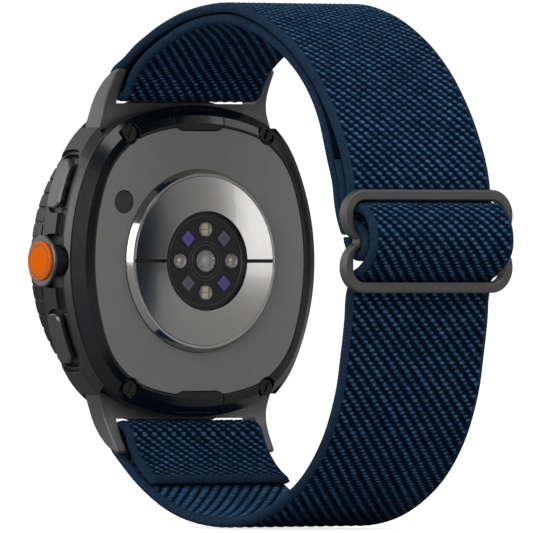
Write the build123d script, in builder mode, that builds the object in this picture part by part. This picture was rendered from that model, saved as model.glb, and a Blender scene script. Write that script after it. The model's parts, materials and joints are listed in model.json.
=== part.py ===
"""A smart watch with a rotating bezel on a woven elastic loop band with a slide adjuster.

Frame, in millimetres: the origin is the middle of the wrist opening. X runs along the forearm,
and +X is the side with the buttons. +Z is towards twelve o'clock. The display faces -Y, and the
back of the case faces +Y, towards the wrist. "Depth" is measured from the flat back plate
towards the display, so the sensor dome has a negative depth.
"""

import math
import os

from build123d import *

os.makedirs("parts", exist_ok=True)

# ---- case ----
BACK_Y = -25.5  # the flat back plate lies in this plane
CASE_W, CASE_H = 44.4, 46.5  # across the pushers, twelve to six
CASE_SIDE_R, CASE_CORNER_R = 32.0, 13.8  # the squircle's long arcs and its corners
FRAME_REAR, FRAME_FRONT = 1.75, 8.1  # depths of the middle frame
CAVITY_W, CAVITY_H = 38.4, 34.4
RIM_W, RIM_H = 42.1, 43.9
PLATE_W, PLATE_H = 36.1, 37.9
PLATE_T = 0.7
FLOOR_TOP, RIM_EDGE, COVER_REAR = 0.8, 1.6, 1.7  # depths in the rear cover

# ---- sensor dome ----
DOME_R = 12.85
DOME_TOP_R = 12.2
DOME_SPHERE = 74.9
DOME_TOP = 2.0  # height of the dome over the plate
LENS_R = 6.95
LED_RADIUS = 4.45
DIAMOND_X, DIAMOND_Z, DIAMOND_SIDE = 3.1, 3.15, 1.56

# ---- rear details ----
SCREW_X, SCREW_Z = 11.8, 17.9
SCREW_HEAD_R, SCREW_WELL_R = 1.1, 1.55
RELEASE_W, RELEASE_H, RELEASE_Z = 8.5, 2.8, 19.8
RELEASE_TRAVEL = 0.9
VENT_X, VENT_Z, VENT_R = 13.1, 8.3, 1.6

# ---- bezel and display ----
BEZEL_R, BEZEL_BORE_R = 22.2, 20.1
BEZEL_REAR, BEZEL_FRONT = 8.2, 10.6
BEZEL_TEETH = 64
SEAT_R, SEAT_BORE_R = 20.0, 18.75
GLASS_R = 18.6

# ---- buttons on the +X side ----
BUTTON_DEPTH = 5.7
CAP_R, CAP_FACE_X = 2.73, 23.8
COLLAR_R, COLLAR_OVAL, COLLAR_BORE_R = 3.6, 3.25, 3.85
STEM_R, BUSH_R = 1.95, 2.3
WELL_FLOOR_X = 20.3
COLLAR_X, COLLAR_T = 22.95, 0.45  # the collar stands clear of the bezel, pressed or not
PUSHER_Z, PUSHER_LEN, PUSHER_WIDE = 10.85, 6.9, 3.0
PUSHER_DEPTH = 5.4
PUSHER_STEM_R = 0.8

# ---- connectors and band ----
ARM_X, ARM_INNER_X = 15.15, 12.1
CONNECTOR_TOP = 22.15
PIN_DEPTH, PIN_Z, PIN_R = 2.85, 24.8, 0.6
PIN_REACH = 13.3  # each end of the pin sits in a blind hole in its arm
BAND_W, BAND_T = 23.7, 1.4

# ---- slide adjuster ----
SLIDER_W, SLIDER_LOBE, SLIDER_BAR, SLIDER_T = 28.9, 7.125, 1.5, 1.6
SLIDER_Z, SLIDER_Y = 2.7, 52.3 + BACK_Y


def back(depth):
    """The plane parallel to the back plate at this depth, facing the display."""
    return Plane.XZ.offset(depth - BACK_Y)


def across(x):
    """The plane across the X axis at x, facing +X, with Y and Z in it."""
    return Plane.YZ.offset(x)


def button_axis(x, z=0.0, depth=BUTTON_DEPTH):
    """The plane of a button at x, centred on the button's axis."""
    return Plane(origin=(x, BACK_Y - depth, z), x_dir=(0, 1, 0), z_dir=(1, 0, 0))


def draw_cushion(wide, high, inset=0.0):
    """Draw a squircle as eight tangent arcs in the current line builder."""
    a = wide / 2 - inset
    b = high / 2 - inset
    side = CASE_SIDE_R - inset
    corner = CASE_CORNER_R * min(wide, high) / CASE_W - inset
    p = side - a
    q = side - b
    reach = side - corner
    # the corner's centre lies at one distance from the centres of both long arcs
    base = math.hypot(p, q)
    half = base / 2
    climb = math.sqrt(reach**2 - half**2)
    mid_x, mid_z = -p / 2, -q / 2
    cx = mid_x + climb * q / base
    cz = mid_z + climb * p / base
    ux, uz = (cx + p) / reach, cz / reach
    vx, vz = cx / reach, (cz + q) / reach
    t1 = (-p + ux * side, uz * side)
    t2 = (vx * side, -q + vz * side)
    wx, wz = ux + vx, uz + vz
    size = math.hypot(wx, wz)
    mid = (cx + corner * wx / size, cz + corner * wz / size)
    for sx, sz in ((1, 1), (-1, 1), (-1, -1), (1, -1)):
        ThreePointArc((sx * t1[0], sz * t1[1]), (sx * mid[0], sz * mid[1]), (sx * t2[0], sz * t2[1]))
    for s in (1, -1):
        ThreePointArc((s * t1[0], -t1[1]), (s * a, 0), (s * t1[0], t1[1]))
        ThreePointArc((-t2[0], s * t2[1]), (0, s * b), (t2[0], s * t2[1]))


def dome_depth(radius, below=0.0):
    """The depth of the dome's surface at a radius, or of a surface some way below it."""
    top = DOME_TOP - below
    sphere = DOME_SPHERE - below
    return -(top - (sphere - math.sqrt(sphere**2 - radius**2)))


def ry(radius, depth):
    """A point of a profile that is revolved around the watch's axis."""
    return (radius, BACK_Y - depth)


def yz(points):
    """Points given as distance from the back plate away from the watch and height."""
    return [(BACK_Y + y, z) for y, z in points]


def shifted(points, distance):
    """The spline through points, moved sideways to its right hand, as points again."""
    curve = Edge.make_spline([Vector(*p) for p in points])
    steps = 3 * len(points)
    moved = []
    for i in range(steps + 1):
        at = curve.position_at(i / steps)
        along = curve.tangent_at(i / steps)
        moved.append((at.X + along.Y * distance, at.Y - along.X * distance))
    return moved


def draw_band(points, thick=BAND_T):
    """Draw one run of the band: points lie on its outer face, going with the wrist at the right."""
    inner = shifted(points, thick)
    face = Spline(*points)
    rear = Spline(*inner)
    Line(face @ 0, rear @ 0)
    Line(face @ 1, rear @ 1)


# ================= rear cover and plate =================

with BuildPart() as rim_shape:
    # the outer shape of the rim, which the release buttons share
    with BuildSketch(back(RIM_EDGE)):
        with BuildLine():
            draw_cushion(RIM_W, RIM_H)
        make_face()
    with BuildSketch(back(0.35)):
        with BuildLine():
            draw_cushion(RIM_W - 2.9, RIM_H - 2.9)
        make_face()
    loft(ruled=True)
    with BuildSketch(back(0.35)):
        with BuildLine():
            draw_cushion(RIM_W - 2.9, RIM_H - 2.9)
        make_face()
    with BuildSketch(back(0.0)):
        with BuildLine():
            draw_cushion(PLATE_W + 0.9, PLATE_H + 0.9)
        make_face()
    loft(ruled=True)
    with BuildSketch(back(RIM_EDGE)):
        with BuildLine():
            draw_cushion(RIM_W, RIM_H)
        make_face()
    extrude(amount=COVER_REAR - RIM_EDGE)

with BuildPart() as rear_cover:
    add(rim_shape.part)
    with BuildSketch(back(0)):
        with BuildLine():
            draw_cushion(PLATE_W + 0.3, PLATE_H + 0.3)
        make_face()
    extrude(amount=FLOOR_TOP, mode=Mode.SUBTRACT)
    with BuildSketch(back(0)):
        Circle(DOME_R - 0.45)
        with Locations((VENT_X, VENT_Z)):
            Circle(0.6)
    extrude(amount=3, mode=Mode.SUBTRACT)
    with BuildSketch(back(-0.5)):
        with GridLocations(2 * SCREW_X, 2 * SCREW_Z, 2, 2):
            Circle(SCREW_WELL_R)
    extrude(amount=1.6, mode=Mode.SUBTRACT)
    with BuildSketch(back(0)):
        with GridLocations(2 * SCREW_X, 2 * SCREW_Z, 2, 2):
            Circle(0.65)
    extrude(amount=3, mode=Mode.SUBTRACT)
    with BuildSketch(back(-0.5)):
        with GridLocations(1, 2 * RELEASE_Z, 1, 2):
            SlotOverall(RELEASE_W + 0.2, RELEASE_H + 0.2)
    extrude(amount=4, mode=Mode.SUBTRACT)
rear_cover.part.label = "rear_cover"

with BuildPart() as rear_plate:
    with BuildSketch(back(0)):
        with BuildLine():
            draw_cushion(PLATE_W, PLATE_H)
        make_face()
        Circle(DOME_R + 0.06, mode=Mode.SUBTRACT)
        with GridLocations(2 * SCREW_X, 2 * SCREW_Z, 2, 2):
            Circle(SCREW_WELL_R + 0.05, mode=Mode.SUBTRACT)
        with GridLocations(1, 2 * RELEASE_Z, 1, 2):
            SlotOverall(RELEASE_W + 0.3, RELEASE_H + 0.3, mode=Mode.SUBTRACT)
        with Locations((VENT_X, VENT_Z)):
            Circle(VENT_R + 0.05, mode=Mode.SUBTRACT)
    extrude(amount=PLATE_T)
rear_plate.part.label = "rear_plate"

with BuildPart() as vent_membrane:
    with BuildSketch(back(0.12)):
        with Locations((VENT_X, VENT_Z)):
            Circle(VENT_R)
    extrude(amount=0.6)
vent_membrane.part.label = "vent_membrane"

with BuildPart() as rear_screws:
    with BuildSketch(back(0.45)):
        with GridLocations(2 * SCREW_X, 2 * SCREW_Z, 2, 2):
            Circle(SCREW_HEAD_R)
    extrude(amount=0.62)
    with BuildSketch(back(0.45)):
        with GridLocations(2 * SCREW_X, 2 * SCREW_Z, 2, 2):
            Rectangle(0.42, 1.5, rotation=24)
    extrude(amount=0.3, mode=Mode.SUBTRACT)
    with BuildSketch(back(1.07)):
        with GridLocations(2 * SCREW_X, 2 * SCREW_Z, 2, 2):
            Circle(0.6)
    extrude(amount=4.2)
rear_screws.part.label = "rear_screws"

with BuildPart() as rear_seal:
    with BuildSketch(back(COVER_REAR)):
        with BuildLine():
            draw_cushion(CAVITY_W + 1.6, CAVITY_H + 1.6)
        make_face()
        with BuildLine():
            draw_cushion(CAVITY_W + 0.4, CAVITY_H + 0.4)
        make_face(mode=Mode.SUBTRACT)
    extrude(amount=0.55)
rear_seal.part.label = "rear_seal"

# ================= sensor dome =================

with BuildPart() as dome_ring:
    with BuildSketch(Plane.XY):
        with BuildLine():
            Polyline(
                ry(DOME_TOP_R - 0.25, dome_depth(DOME_TOP_R)),
                ry(DOME_TOP_R + 0.1, dome_depth(DOME_TOP_R) + 0.02),
                ry(DOME_R, -0.15),
                ry(DOME_R, PLATE_T),
                ry(DOME_TOP_R - 0.25, PLATE_T),
                close=True,
            )
        make_face()
    revolve(axis=Axis.Y)
dome_ring.part.label = "dome_ring"

with BuildPart() as electrode_upper:
    with BuildSketch(Plane.XY):
        with BuildLine():
            outer_at = DOME_TOP_R - 0.3
            inner_at = LENS_R + 0.06
            middle = (outer_at + inner_at) / 2
            ThreePointArc(
                ry(inner_at, dome_depth(inner_at)),
                ry(middle, dome_depth(middle)),
                ry(outer_at, dome_depth(outer_at)),
            )
            Line(ry(outer_at, dome_depth(outer_at)), ry(outer_at, -0.45))
            Line(ry(outer_at, -0.45), ry(inner_at, -0.45))
            Line(ry(inner_at, -0.45), ry(inner_at, dome_depth(inner_at)))
        make_face()
    revolve(axis=Axis.Y)
    with BuildSketch(back(-3)):
        with Locations((0, -15 + 0.24)):
            Rectangle(40, 30)
    extrude(amount=5, mode=Mode.SUBTRACT)
electrode_upper.part.label = "electrode_upper"

with BuildPart() as electrode_lower:
    add(mirror(electrode_upper.part, about=Plane.XY))
electrode_lower.part.label = "electrode_lower"

with BuildPart() as electrode_insulator:
    with BuildSketch(back(-0.43)):
        Circle(DOME_TOP_R - 0.3)
        Circle(LENS_R + 0.06, mode=Mode.SUBTRACT)
    extrude(amount=1.1)
    rib_mid = (DOME_TOP_R + LENS_R) / 2
    rib_long = DOME_TOP_R - LENS_R - 0.72
    with BuildSketch(back(-1.12)):
        with Locations((rib_mid, 0), (-rib_mid, 0)):
            Rectangle(rib_long, 0.44)
    extrude(amount=0.8)
electrode_insulator.part.label = "electrode_insulator"

with BuildPart() as sensor_lens:
    with BuildSketch(Plane.XY):
        with BuildLine():
            Line(ry(0, dome_depth(0) + 0.02), ry(0, dome_depth(0) + 0.5))
            Line(ry(0, dome_depth(0) + 0.5), ry(LENS_R, dome_depth(0) + 0.5))
            Line(ry(LENS_R, dome_depth(0) + 0.5), ry(LENS_R, dome_depth(LENS_R) + 0.02))
            ThreePointArc(
                ry(LENS_R, dome_depth(LENS_R) + 0.02),
                ry(LENS_R / 2, dome_depth(LENS_R / 2) + 0.02),
                ry(0, dome_depth(0) + 0.02),
            )
        make_face()
    revolve(axis=Axis.Y)
sensor_lens.part.label = "sensor_lens"

WINDOW_TOP = -1.48  # the lamps and windows end just under the lens

with BuildPart() as sensor_carrier:
    with BuildSketch(back(-1.2)):
        Circle(LENS_R - 0.05)
    extrude(amount=1.9)
    with BuildSketch(back(-2)):
        Circle(1.52)
        with PolarLocations(LED_RADIUS, 4):
            Circle(1.02)
        with GridLocations(2 * DIAMOND_X, 2 * DIAMOND_Z, 2, 2):
            Rectangle(DIAMOND_SIDE + 0.04, DIAMOND_SIDE + 0.04, rotation=45)
    extrude(amount=1.6, mode=Mode.SUBTRACT)
sensor_carrier.part.label = "sensor_carrier"

with BuildPart() as centre_led:
    with BuildSketch(back(WINDOW_TOP)):
        Circle(1.5)
    extrude(amount=1.07)
centre_led.part.label = "centre_led"

with BuildPart() as led_windows:
    with BuildSketch(back(WINDOW_TOP)):
        with PolarLocations(LED_RADIUS, 4):
            Circle(1.0)
    extrude(amount=1.07)
led_windows.part.label = "led_windows"

# from the wrist side, the violet pair is at +X above and -X below
with BuildPart() as violet_windows:
    with BuildSketch(back(WINDOW_TOP)):
        with Locations((DIAMOND_X, DIAMOND_Z), (-DIAMOND_X, -DIAMOND_Z)):
            Rectangle(DIAMOND_SIDE, DIAMOND_SIDE, rotation=45)
    extrude(amount=1.07)
violet_windows.part.label = "violet_windows"

with BuildPart() as grey_windows:
    with BuildSketch(back(WINDOW_TOP)):
        with Locations((-DIAMOND_X, DIAMOND_Z), (DIAMOND_X, -DIAMOND_Z)):
            Rectangle(DIAMOND_SIDE, DIAMOND_SIDE, rotation=45)
    extrude(amount=1.07)
grey_windows.part.label = "grey_windows"

with BuildPart() as sensor_board:
    with BuildSketch(back(0.75)):
        Circle(11.6)
    extrude(amount=0.5)
sensor_board.part.label = "sensor_board"

# ================= middle frame =================

with BuildPart() as side_ring:
    # the space from one millimetre under the case's side outwards, for the pusher pockets
    with BuildSketch(back(PUSHER_DEPTH - 2.35)):
        with BuildLine():
            draw_cushion(CASE_W + 6, CASE_H + 6)
        make_face()
        with BuildLine():
            draw_cushion(CASE_W, CASE_H, inset=1.05)
        make_face(mode=Mode.SUBTRACT)
    extrude(amount=4.4)
    with BuildSketch(across(10)):
        with Locations((BACK_Y - PUSHER_DEPTH, PUSHER_Z), (BACK_Y - PUSHER_DEPTH, -PUSHER_Z)):
            RectangleRounded(4.4, PUSHER_LEN + 1.3, 1.5)
    extrude(amount=20, mode=Mode.INTERSECT)

with BuildPart() as side_step:
    # a shallow step round both pockets and the quick button
    with BuildSketch(back(2.3)):
        with BuildLine():
            draw_cushion(CASE_W + 6, CASE_H + 6)
        make_face()
        with BuildLine():
            draw_cushion(CASE_W, CASE_H, inset=0.4)
        make_face(mode=Mode.SUBTRACT)
    extrude(amount=6.2)
    with BuildSketch(across(10)):
        with Locations((BACK_Y - PUSHER_DEPTH, 0)):
            RectangleRounded(5.7, 2 * PUSHER_Z + PUSHER_LEN + 2.7, 2.2)
    extrude(amount=20, mode=Mode.INTERSECT)

with BuildPart() as side_scoop:
    # the hollow between the pushers: a channel along its rear edge, open round the quick button
    with BuildSketch(back(2.75)):
        with BuildLine():
            draw_cushion(CASE_W + 6, CASE_H + 6)
        make_face()
        with BuildLine():
            draw_cushion(CASE_W, CASE_H, inset=1.2)
        make_face(mode=Mode.SUBTRACT)
    extrude(amount=6)
    with BuildSketch(across(10)):
        with Locations((BACK_Y - 3.85, 0)):
            Rectangle(2.2, 2 * PUSHER_Z - PUSHER_LEN)
        with Locations((BACK_Y - 5.75, 0)):
            Rectangle(6, 6.9)
    extrude(amount=20, mode=Mode.INTERSECT)

with BuildPart() as lug_recess:
    # where each connector sits in the case, between the rear flange and the front flange
    with BuildSketch(back(3.3)):
        with BuildLine():
            ThreePointArc((-15.4, 17.84), (0, 20.2), (15.4, 17.84))
            Polyline((15.4, 17.84), (15.4, 30), (-15.4, 30), (-15.4, 17.84))
        make_face()
    extrude(amount=4.0)
    with BuildSketch(back(1)):
        with BuildLine():
            Polyline((-15.4, 12), (15.4, 12), (15.4, 30), (-15.4, 30), close=True)
        make_face()
        with BuildLine():
            draw_cushion(RIM_W + 0.1, RIM_H + 0.1)
        make_face(mode=Mode.SUBTRACT)
    extrude(amount=6.3)
    mirror(about=Plane.XY)

with BuildPart() as mid_frame:
    with BuildSketch(back(FRAME_REAR)):
        with BuildLine():
            draw_cushion(CASE_W, CASE_H)
        make_face()
    extrude(amount=FRAME_FRONT - FRAME_REAR)
    rear_edges = mid_frame.faces().sort_by(Axis.Y)[-1].edges()
    chamfer(rear_edges, length=1.35, length2=0.95)
    front_edges = mid_frame.faces().sort_by(Axis.Y)[0].edges()
    fillet(front_edges, radius=0.9)
    with BuildSketch(back(FRAME_FRONT)):
        Circle(SEAT_R)
    extrude(amount=1.6)
    with BuildSketch(back(0)):
        Circle(SEAT_BORE_R)
    extrude(amount=12, mode=Mode.SUBTRACT)
    with BuildSketch(back(FRAME_FRONT + 0.85)):
        # groove for the bezel's retaining ring
        Circle(SEAT_R + 0.1)
        Circle(SEAT_R - 0.45, mode=Mode.SUBTRACT)
    extrude(amount=0.4, mode=Mode.SUBTRACT)
    with BuildSketch(back(FRAME_REAR)):
        with BuildLine():
            draw_cushion(CAVITY_W, CAVITY_H)
        make_face()
    extrude(amount=5.55, mode=Mode.SUBTRACT)
    with BuildSketch(back(FRAME_REAR)):
        with BuildLine():
            draw_cushion(CAVITY_W + 1.7, CAVITY_H + 1.7)
        make_face()
    extrude(amount=0.5, mode=Mode.SUBTRACT)
    with BuildSketch(back(0)):
        with GridLocations(2 * SCREW_X, 2 * SCREW_Z, 2, 2):
            Circle(0.62)
    extrude(amount=5.6, mode=Mode.SUBTRACT)
    add(side_ring.part, mode=Mode.SUBTRACT)
    add(side_step.part, mode=Mode.SUBTRACT)
    add(side_scoop.part, mode=Mode.SUBTRACT)
    add(lug_recess.part, mode=Mode.SUBTRACT)
    # release button: pocket, two spring wells, the latch bore and the connector's slot
    with BuildSketch(back(0)):
        with GridLocations(1, 2 * RELEASE_Z, 1, 2):
            SlotOverall(RELEASE_W + 0.2, RELEASE_H + 0.2)
    extrude(amount=3.0, mode=Mode.SUBTRACT)
    with BuildSketch(back(0)):
        with GridLocations(6.0, 2 * 19.0, 2, 2):
            Circle(0.8)
    extrude(amount=4.7, mode=Mode.SUBTRACT)
    with BuildSketch(back(0)):
        with GridLocations(1, 2 * 19.2, 1, 2):
            Circle(1.15)
    extrude(amount=6.6, mode=Mode.SUBTRACT)
    with BuildSketch(back(4.4)):
        with GridLocations(1, 2 * 19.3, 1, 2):
            Rectangle(3.9, 2.4)
    extrude(amount=1.0, mode=Mode.SUBTRACT)
    # room for the button board, and bores for the buttons
    with BuildSketch(across(14)):
        with Locations((BACK_Y - 4.25, 0)):
            Rectangle(3.9, 25.6)
    extrude(amount=3.3, mode=Mode.SUBTRACT)
    with BuildSketch(button_axis(WELL_FLOOR_X)):
        Circle(COLLAR_BORE_R)
    extrude(amount=6, mode=Mode.SUBTRACT)
    with BuildSketch(button_axis(15)):
        Circle(BUSH_R)
    extrude(amount=10, mode=Mode.SUBTRACT)
    with BuildSketch(button_axis(15, 0, PUSHER_DEPTH)):
        with Locations((0, PUSHER_Z), (0, -PUSHER_Z)):
            Circle(PUSHER_STEM_R + 0.05)
    extrude(amount=10, mode=Mode.SUBTRACT)
mid_frame.part.label = "mid_frame"

# ================= display side =================

with BuildPart() as display_seal:
    with BuildSketch(back(FRAME_FRONT + 0.1)):
        Circle(SEAT_BORE_R - 0.02)
        Circle(GLASS_R - 0.9, mode=Mode.SUBTRACT)
    extrude(amount=0.25)
display_seal.part.label = "display_seal"

with BuildPart() as display_glass:
    with BuildSketch(back(FRAME_FRONT + 0.4)):
        Circle(GLASS_R)
    extrude(amount=1.4)
    fillet(display_glass.faces().sort_by(Axis.Y)[0].edges(), radius=0.35)
display_glass.part.label = "display_glass"

with BuildPart() as display_panel:
    with BuildSketch(back(FRAME_FRONT - 0.35)):
        Circle(17.6)
    extrude(amount=0.7)
display_panel.part.label = "display_panel"

with BuildPart() as rotating_bezel:
    with BuildSketch(Plane.XY):
        with BuildLine():
            Polyline(
                ry(BEZEL_BORE_R, BEZEL_REAR),
                ry(BEZEL_R - 0.25, BEZEL_REAR),
                ry(BEZEL_R, BEZEL_REAR + 0.25),
                ry(BEZEL_R, 9.9),
                ry(BEZEL_R - 0.7, BEZEL_FRONT),
                ry(21.0, BEZEL_FRONT),
                ry(21.0, 10.3),
                ry(19.2, 10.0),
                ry(18.95, 9.85),
                ry(BEZEL_BORE_R, 9.85),
                close=True,
            )
        make_face()
    revolve(axis=Axis.Y)
    # notches between the teeth
    with BuildSketch(back(BEZEL_REAR - 0.5)):
        with PolarLocations(BEZEL_R + 0.12, BEZEL_TEETH, start_angle=180 / BEZEL_TEETH):
            Rectangle(0.9, 0.5)
    extrude(amount=4, mode=Mode.SUBTRACT)
rotating_bezel.part.label = "rotating_bezel"

with BuildPart() as bezel_insert:
    with BuildSketch(Plane.XY):
        with BuildLine():
            Polyline(
                ry(19.25, 10.06),
                ry(20.95, 10.35),
                ry(20.95, 10.56),
                ry(19.0, 10.24),
                ry(19.0, 10.02),
                close=True,
            )
        make_face()
    revolve(axis=Axis.Y)
bezel_insert.part.label = "bezel_insert"

with BuildPart() as bezel_retainer:
    with BuildSketch(back(FRAME_FRONT + 0.9)):
        Circle(SEAT_R + 0.03)
        Circle(SEAT_R - 0.42, mode=Mode.SUBTRACT)
        with Locations((-SEAT_R, 0)):
            Rectangle(3, 1.2, mode=Mode.SUBTRACT)
    extrude(amount=0.3)
bezel_retainer.part.label = "bezel_retainer"

# ================= inside =================

with BuildPart() as charging_coil:
    with BuildSketch(back(1.8)):
        Circle(15.6)
        Circle(12.1, mode=Mode.SUBTRACT)
    extrude(amount=0.4)
charging_coil.part.label = "charging_coil"

with BuildPart() as battery:
    with BuildSketch(back(2.4)):
        with Locations((-1.5, 0)):
            RectangleRounded(26, 24, 2.0)
    extrude(amount=3.5)
    fillet(battery.edges().filter_by(Axis.Y, reverse=True), radius=0.5)
battery.part.label = "battery"

with BuildPart() as main_board:
    with BuildSketch(back(6.2)):
        with BuildLine():
            draw_cushion(CAVITY_W - 2.4, CAVITY_H - 1.0)
        make_face()
        with Locations((20, 0)):
            Rectangle(9.4, 40, mode=Mode.SUBTRACT)
    extrude(amount=0.7)
main_board.part.label = "main_board"

with BuildPart() as board_shield:
    with BuildSketch(back(4.6)):
        with Locations((-16.4, 0)):
            Rectangle(2.6, 12)
    extrude(amount=1.55)
board_shield.part.label = "board_shield"

with BuildPart() as vibration_motor:
    with BuildSketch(across(-6)):
        with Locations((BACK_Y - 4.2, 14.4)):
            Circle(1.6)
    extrude(amount=10)
vibration_motor.part.label = "vibration_motor"

with BuildPart() as speaker:
    with BuildSketch(back(2.6)):
        with Locations((-1.5, -14.4)):
            RectangleRounded(11, 3.4, 0.8)
    extrude(amount=3.0)
speaker.part.label = "speaker"

with BuildPart() as button_flex:
    # a thin board along the +X wall, with a tactile switch behind each button
    with BuildSketch(across(15.8)):
        with Locations((BACK_Y - 4.2, 0)):
            Rectangle(3.4, 25)
    extrude(amount=0.3)
    with BuildSketch(across(16.1)):
        with Locations((BACK_Y - 4.4, 0), (BACK_Y - 4.4, PUSHER_Z), (BACK_Y - 4.4, -PUSHER_Z)):
            Rectangle(2.6, 2.6)
    extrude(amount=0.4)
button_flex.part.label = "button_flex"

# ================= buttons =================

with BuildPart() as quick_button_bushing:
    with BuildSketch(button_axis(18.8)):
        Circle(BUSH_R - 0.01)
        Circle(STEM_R + 0.06, mode=Mode.SUBTRACT)
    extrude(amount=WELL_FLOOR_X - 18.8)
quick_button_bushing.part.label = "quick_button_bushing"

with BuildPart() as quick_button_collar:
    with BuildSketch(button_axis(17.2)):
        Circle(STEM_R)
    extrude(amount=COLLAR_X - 17.2)
    with BuildSketch(button_axis(COLLAR_X)):
        Ellipse(COLLAR_OVAL, COLLAR_R)
    extrude(amount=COLLAR_T)
    chamfer(quick_button_collar.faces().sort_by(Axis.X)[-1].edges(), length=0.12)
    with BuildSketch(button_axis(COLLAR_X + 0.1)):
        Circle(CAP_R - 0.35)
    extrude(amount=2, mode=Mode.SUBTRACT)
    with BuildSketch(button_axis(19.4)):
        # groove for the seal
        Circle(STEM_R + 1)
        Circle(STEM_R - 0.3, mode=Mode.SUBTRACT)
    extrude(amount=0.6, mode=Mode.SUBTRACT)
quick_button_collar.part.label = "quick_button_collar"

with BuildPart() as quick_button_seal:
    with BuildSketch(button_axis(19.43)):
        Circle(STEM_R + 0.03)
        Circle(STEM_R - 0.29, mode=Mode.SUBTRACT)
    extrude(amount=0.54)
    fillet(quick_button_seal.edges(), radius=0.1)
quick_button_seal.part.label = "quick_button_seal"

with BuildPart() as quick_button_cap:
    with BuildSketch(button_axis(COLLAR_X + COLLAR_T + 0.01)):
        Circle(CAP_R)
    extrude(amount=CAP_FACE_X - COLLAR_X - COLLAR_T - 0.01)
    chamfer(quick_button_cap.faces().sort_by(Axis.X)[-1].edges(), length=0.12)
    with BuildSketch(button_axis(COLLAR_X + 0.12)):
        Circle(CAP_R - 0.38)
    extrude(amount=0.4)
    with BuildSketch(button_axis(CAP_FACE_X - 0.15)):
        Circle(2.36)
        Circle(2.16, mode=Mode.SUBTRACT)
    extrude(amount=1, mode=Mode.SUBTRACT)
quick_button_cap.part.label = "quick_button_cap"

with BuildPart() as quick_button_ring:
    with BuildSketch(button_axis(CAP_FACE_X - 0.15)):
        Circle(2.35)
        Circle(2.17, mode=Mode.SUBTRACT)
    extrude(amount=0.16)
quick_button_ring.part.label = "quick_button_ring"

with BuildPart() as upper_pusher:
    with BuildSketch(back(PUSHER_DEPTH - PUSHER_WIDE / 2)):
        with BuildLine():
            draw_cushion(CASE_W + 1.1, CASE_H + 1.1)
        make_face()
        with BuildLine():
            draw_cushion(CASE_W, CASE_H, inset=0.5)
        make_face(mode=Mode.SUBTRACT)
    extrude(amount=PUSHER_WIDE)
    with BuildSketch(across(10)):
        with Locations((BACK_Y - PUSHER_DEPTH, PUSHER_Z)):
            RectangleRounded(PUSHER_WIDE, PUSHER_LEN, 1.2)
    extrude(amount=20, mode=Mode.INTERSECT)
    # the outer skin is two faces, and only the edges round the pair are eased
    skin_edges = [e for f in upper_pusher.faces().sort_by(Axis.X)[-2:] for e in f.edges()]
    round_edges = [e for e in skin_edges if sum(e.is_same(other) for other in skin_edges) == 1]
    chamfer(round_edges, length=0.25)
    with BuildSketch(button_axis(17.0, PUSHER_Z, PUSHER_DEPTH)):
        Circle(PUSHER_STEM_R)
    extrude(amount=3.3)
    with BuildSketch(button_axis(18.4, PUSHER_Z, PUSHER_DEPTH)):
        Circle(2)
        Circle(PUSHER_STEM_R - 0.2, mode=Mode.SUBTRACT)
    extrude(amount=0.4, mode=Mode.SUBTRACT)
upper_pusher.part.label = "upper_pusher"

with BuildPart() as lower_pusher:
    add(mirror(upper_pusher.part, about=Plane.XY))
lower_pusher.part.label = "lower_pusher"

with BuildPart() as upper_pusher_seal:
    with BuildSketch(button_axis(18.42, PUSHER_Z, PUSHER_DEPTH)):
        Circle(PUSHER_STEM_R + 0.03)
        Circle(PUSHER_STEM_R - 0.19, mode=Mode.SUBTRACT)
    extrude(amount=0.36)
upper_pusher_seal.part.label = "upper_pusher_seal"

with BuildPart() as lower_pusher_seal:
    add(mirror(upper_pusher_seal.part, about=Plane.XY))
lower_pusher_seal.part.label = "lower_pusher_seal"

with BuildPart() as upper_release_button:
    with BuildSketch(back(-1)):
        with Locations((0, RELEASE_Z)):
            SlotOverall(RELEASE_W, RELEASE_H)
    extrude(amount=3.0)
    # its face follows the rim's slope
    add(rim_shape.part.moved(Location((0, -0.06, 0))), mode=Mode.INTERSECT)
    with BuildSketch(back(1.55)):
        with Locations((0, 19.8)):
            SlotOverall(RELEASE_W, RELEASE_H)
    extrude(amount=0.45)
    with BuildSketch(back(1.1)):
        with GridLocations(6.0, 1, 2, 1):
            with Locations((0, 19.0)):
                Circle(0.8)
    extrude(amount=2, mode=Mode.SUBTRACT)
    # latch pin: a thin neck and a thick end that locks the connector's tongue
    with BuildSketch(back(1.9)):
        with Locations((0, 19.2)):
            Circle(0.55)
    extrude(amount=3.0)
    with BuildSketch(back(4.35)):
        with Locations((0, 19.2)):
            Circle(1.05)
    extrude(amount=1.1)
upper_release_button.part.label = "upper_release_button"

with BuildPart() as lower_release_button:
    add(mirror(upper_release_button.part, about=Plane.XY))
lower_release_button.part.label = "lower_release_button"

SPRING_TURNS, SPRING_LONG, SPRING_WIRE = 4, 3.3, 0.11
with BuildPart() as upper_release_springs:
    for spring_x in (-3.0, 3.0):
        foot = Plane(origin=(spring_x, BACK_Y - 1.22, 19.0), x_dir=(1, 0, 0), z_dir=(0, -1, 0))
        coil = foot * Helix(pitch=SPRING_LONG / SPRING_TURNS, height=SPRING_LONG, radius=0.55)
        with BuildSketch(Plane(origin=coil @ 0, z_dir=coil % 0)):
            Circle(SPRING_WIRE)
        sweep(path=coil, is_frenet=True)
upper_release_springs.part.label = "upper_release_springs"

with BuildPart() as lower_release_springs:
    add(mirror(upper_release_springs.part, about=Plane.XY))
lower_release_springs.part.label = "lower_release_springs"

# ================= connectors and pins =================

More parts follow.
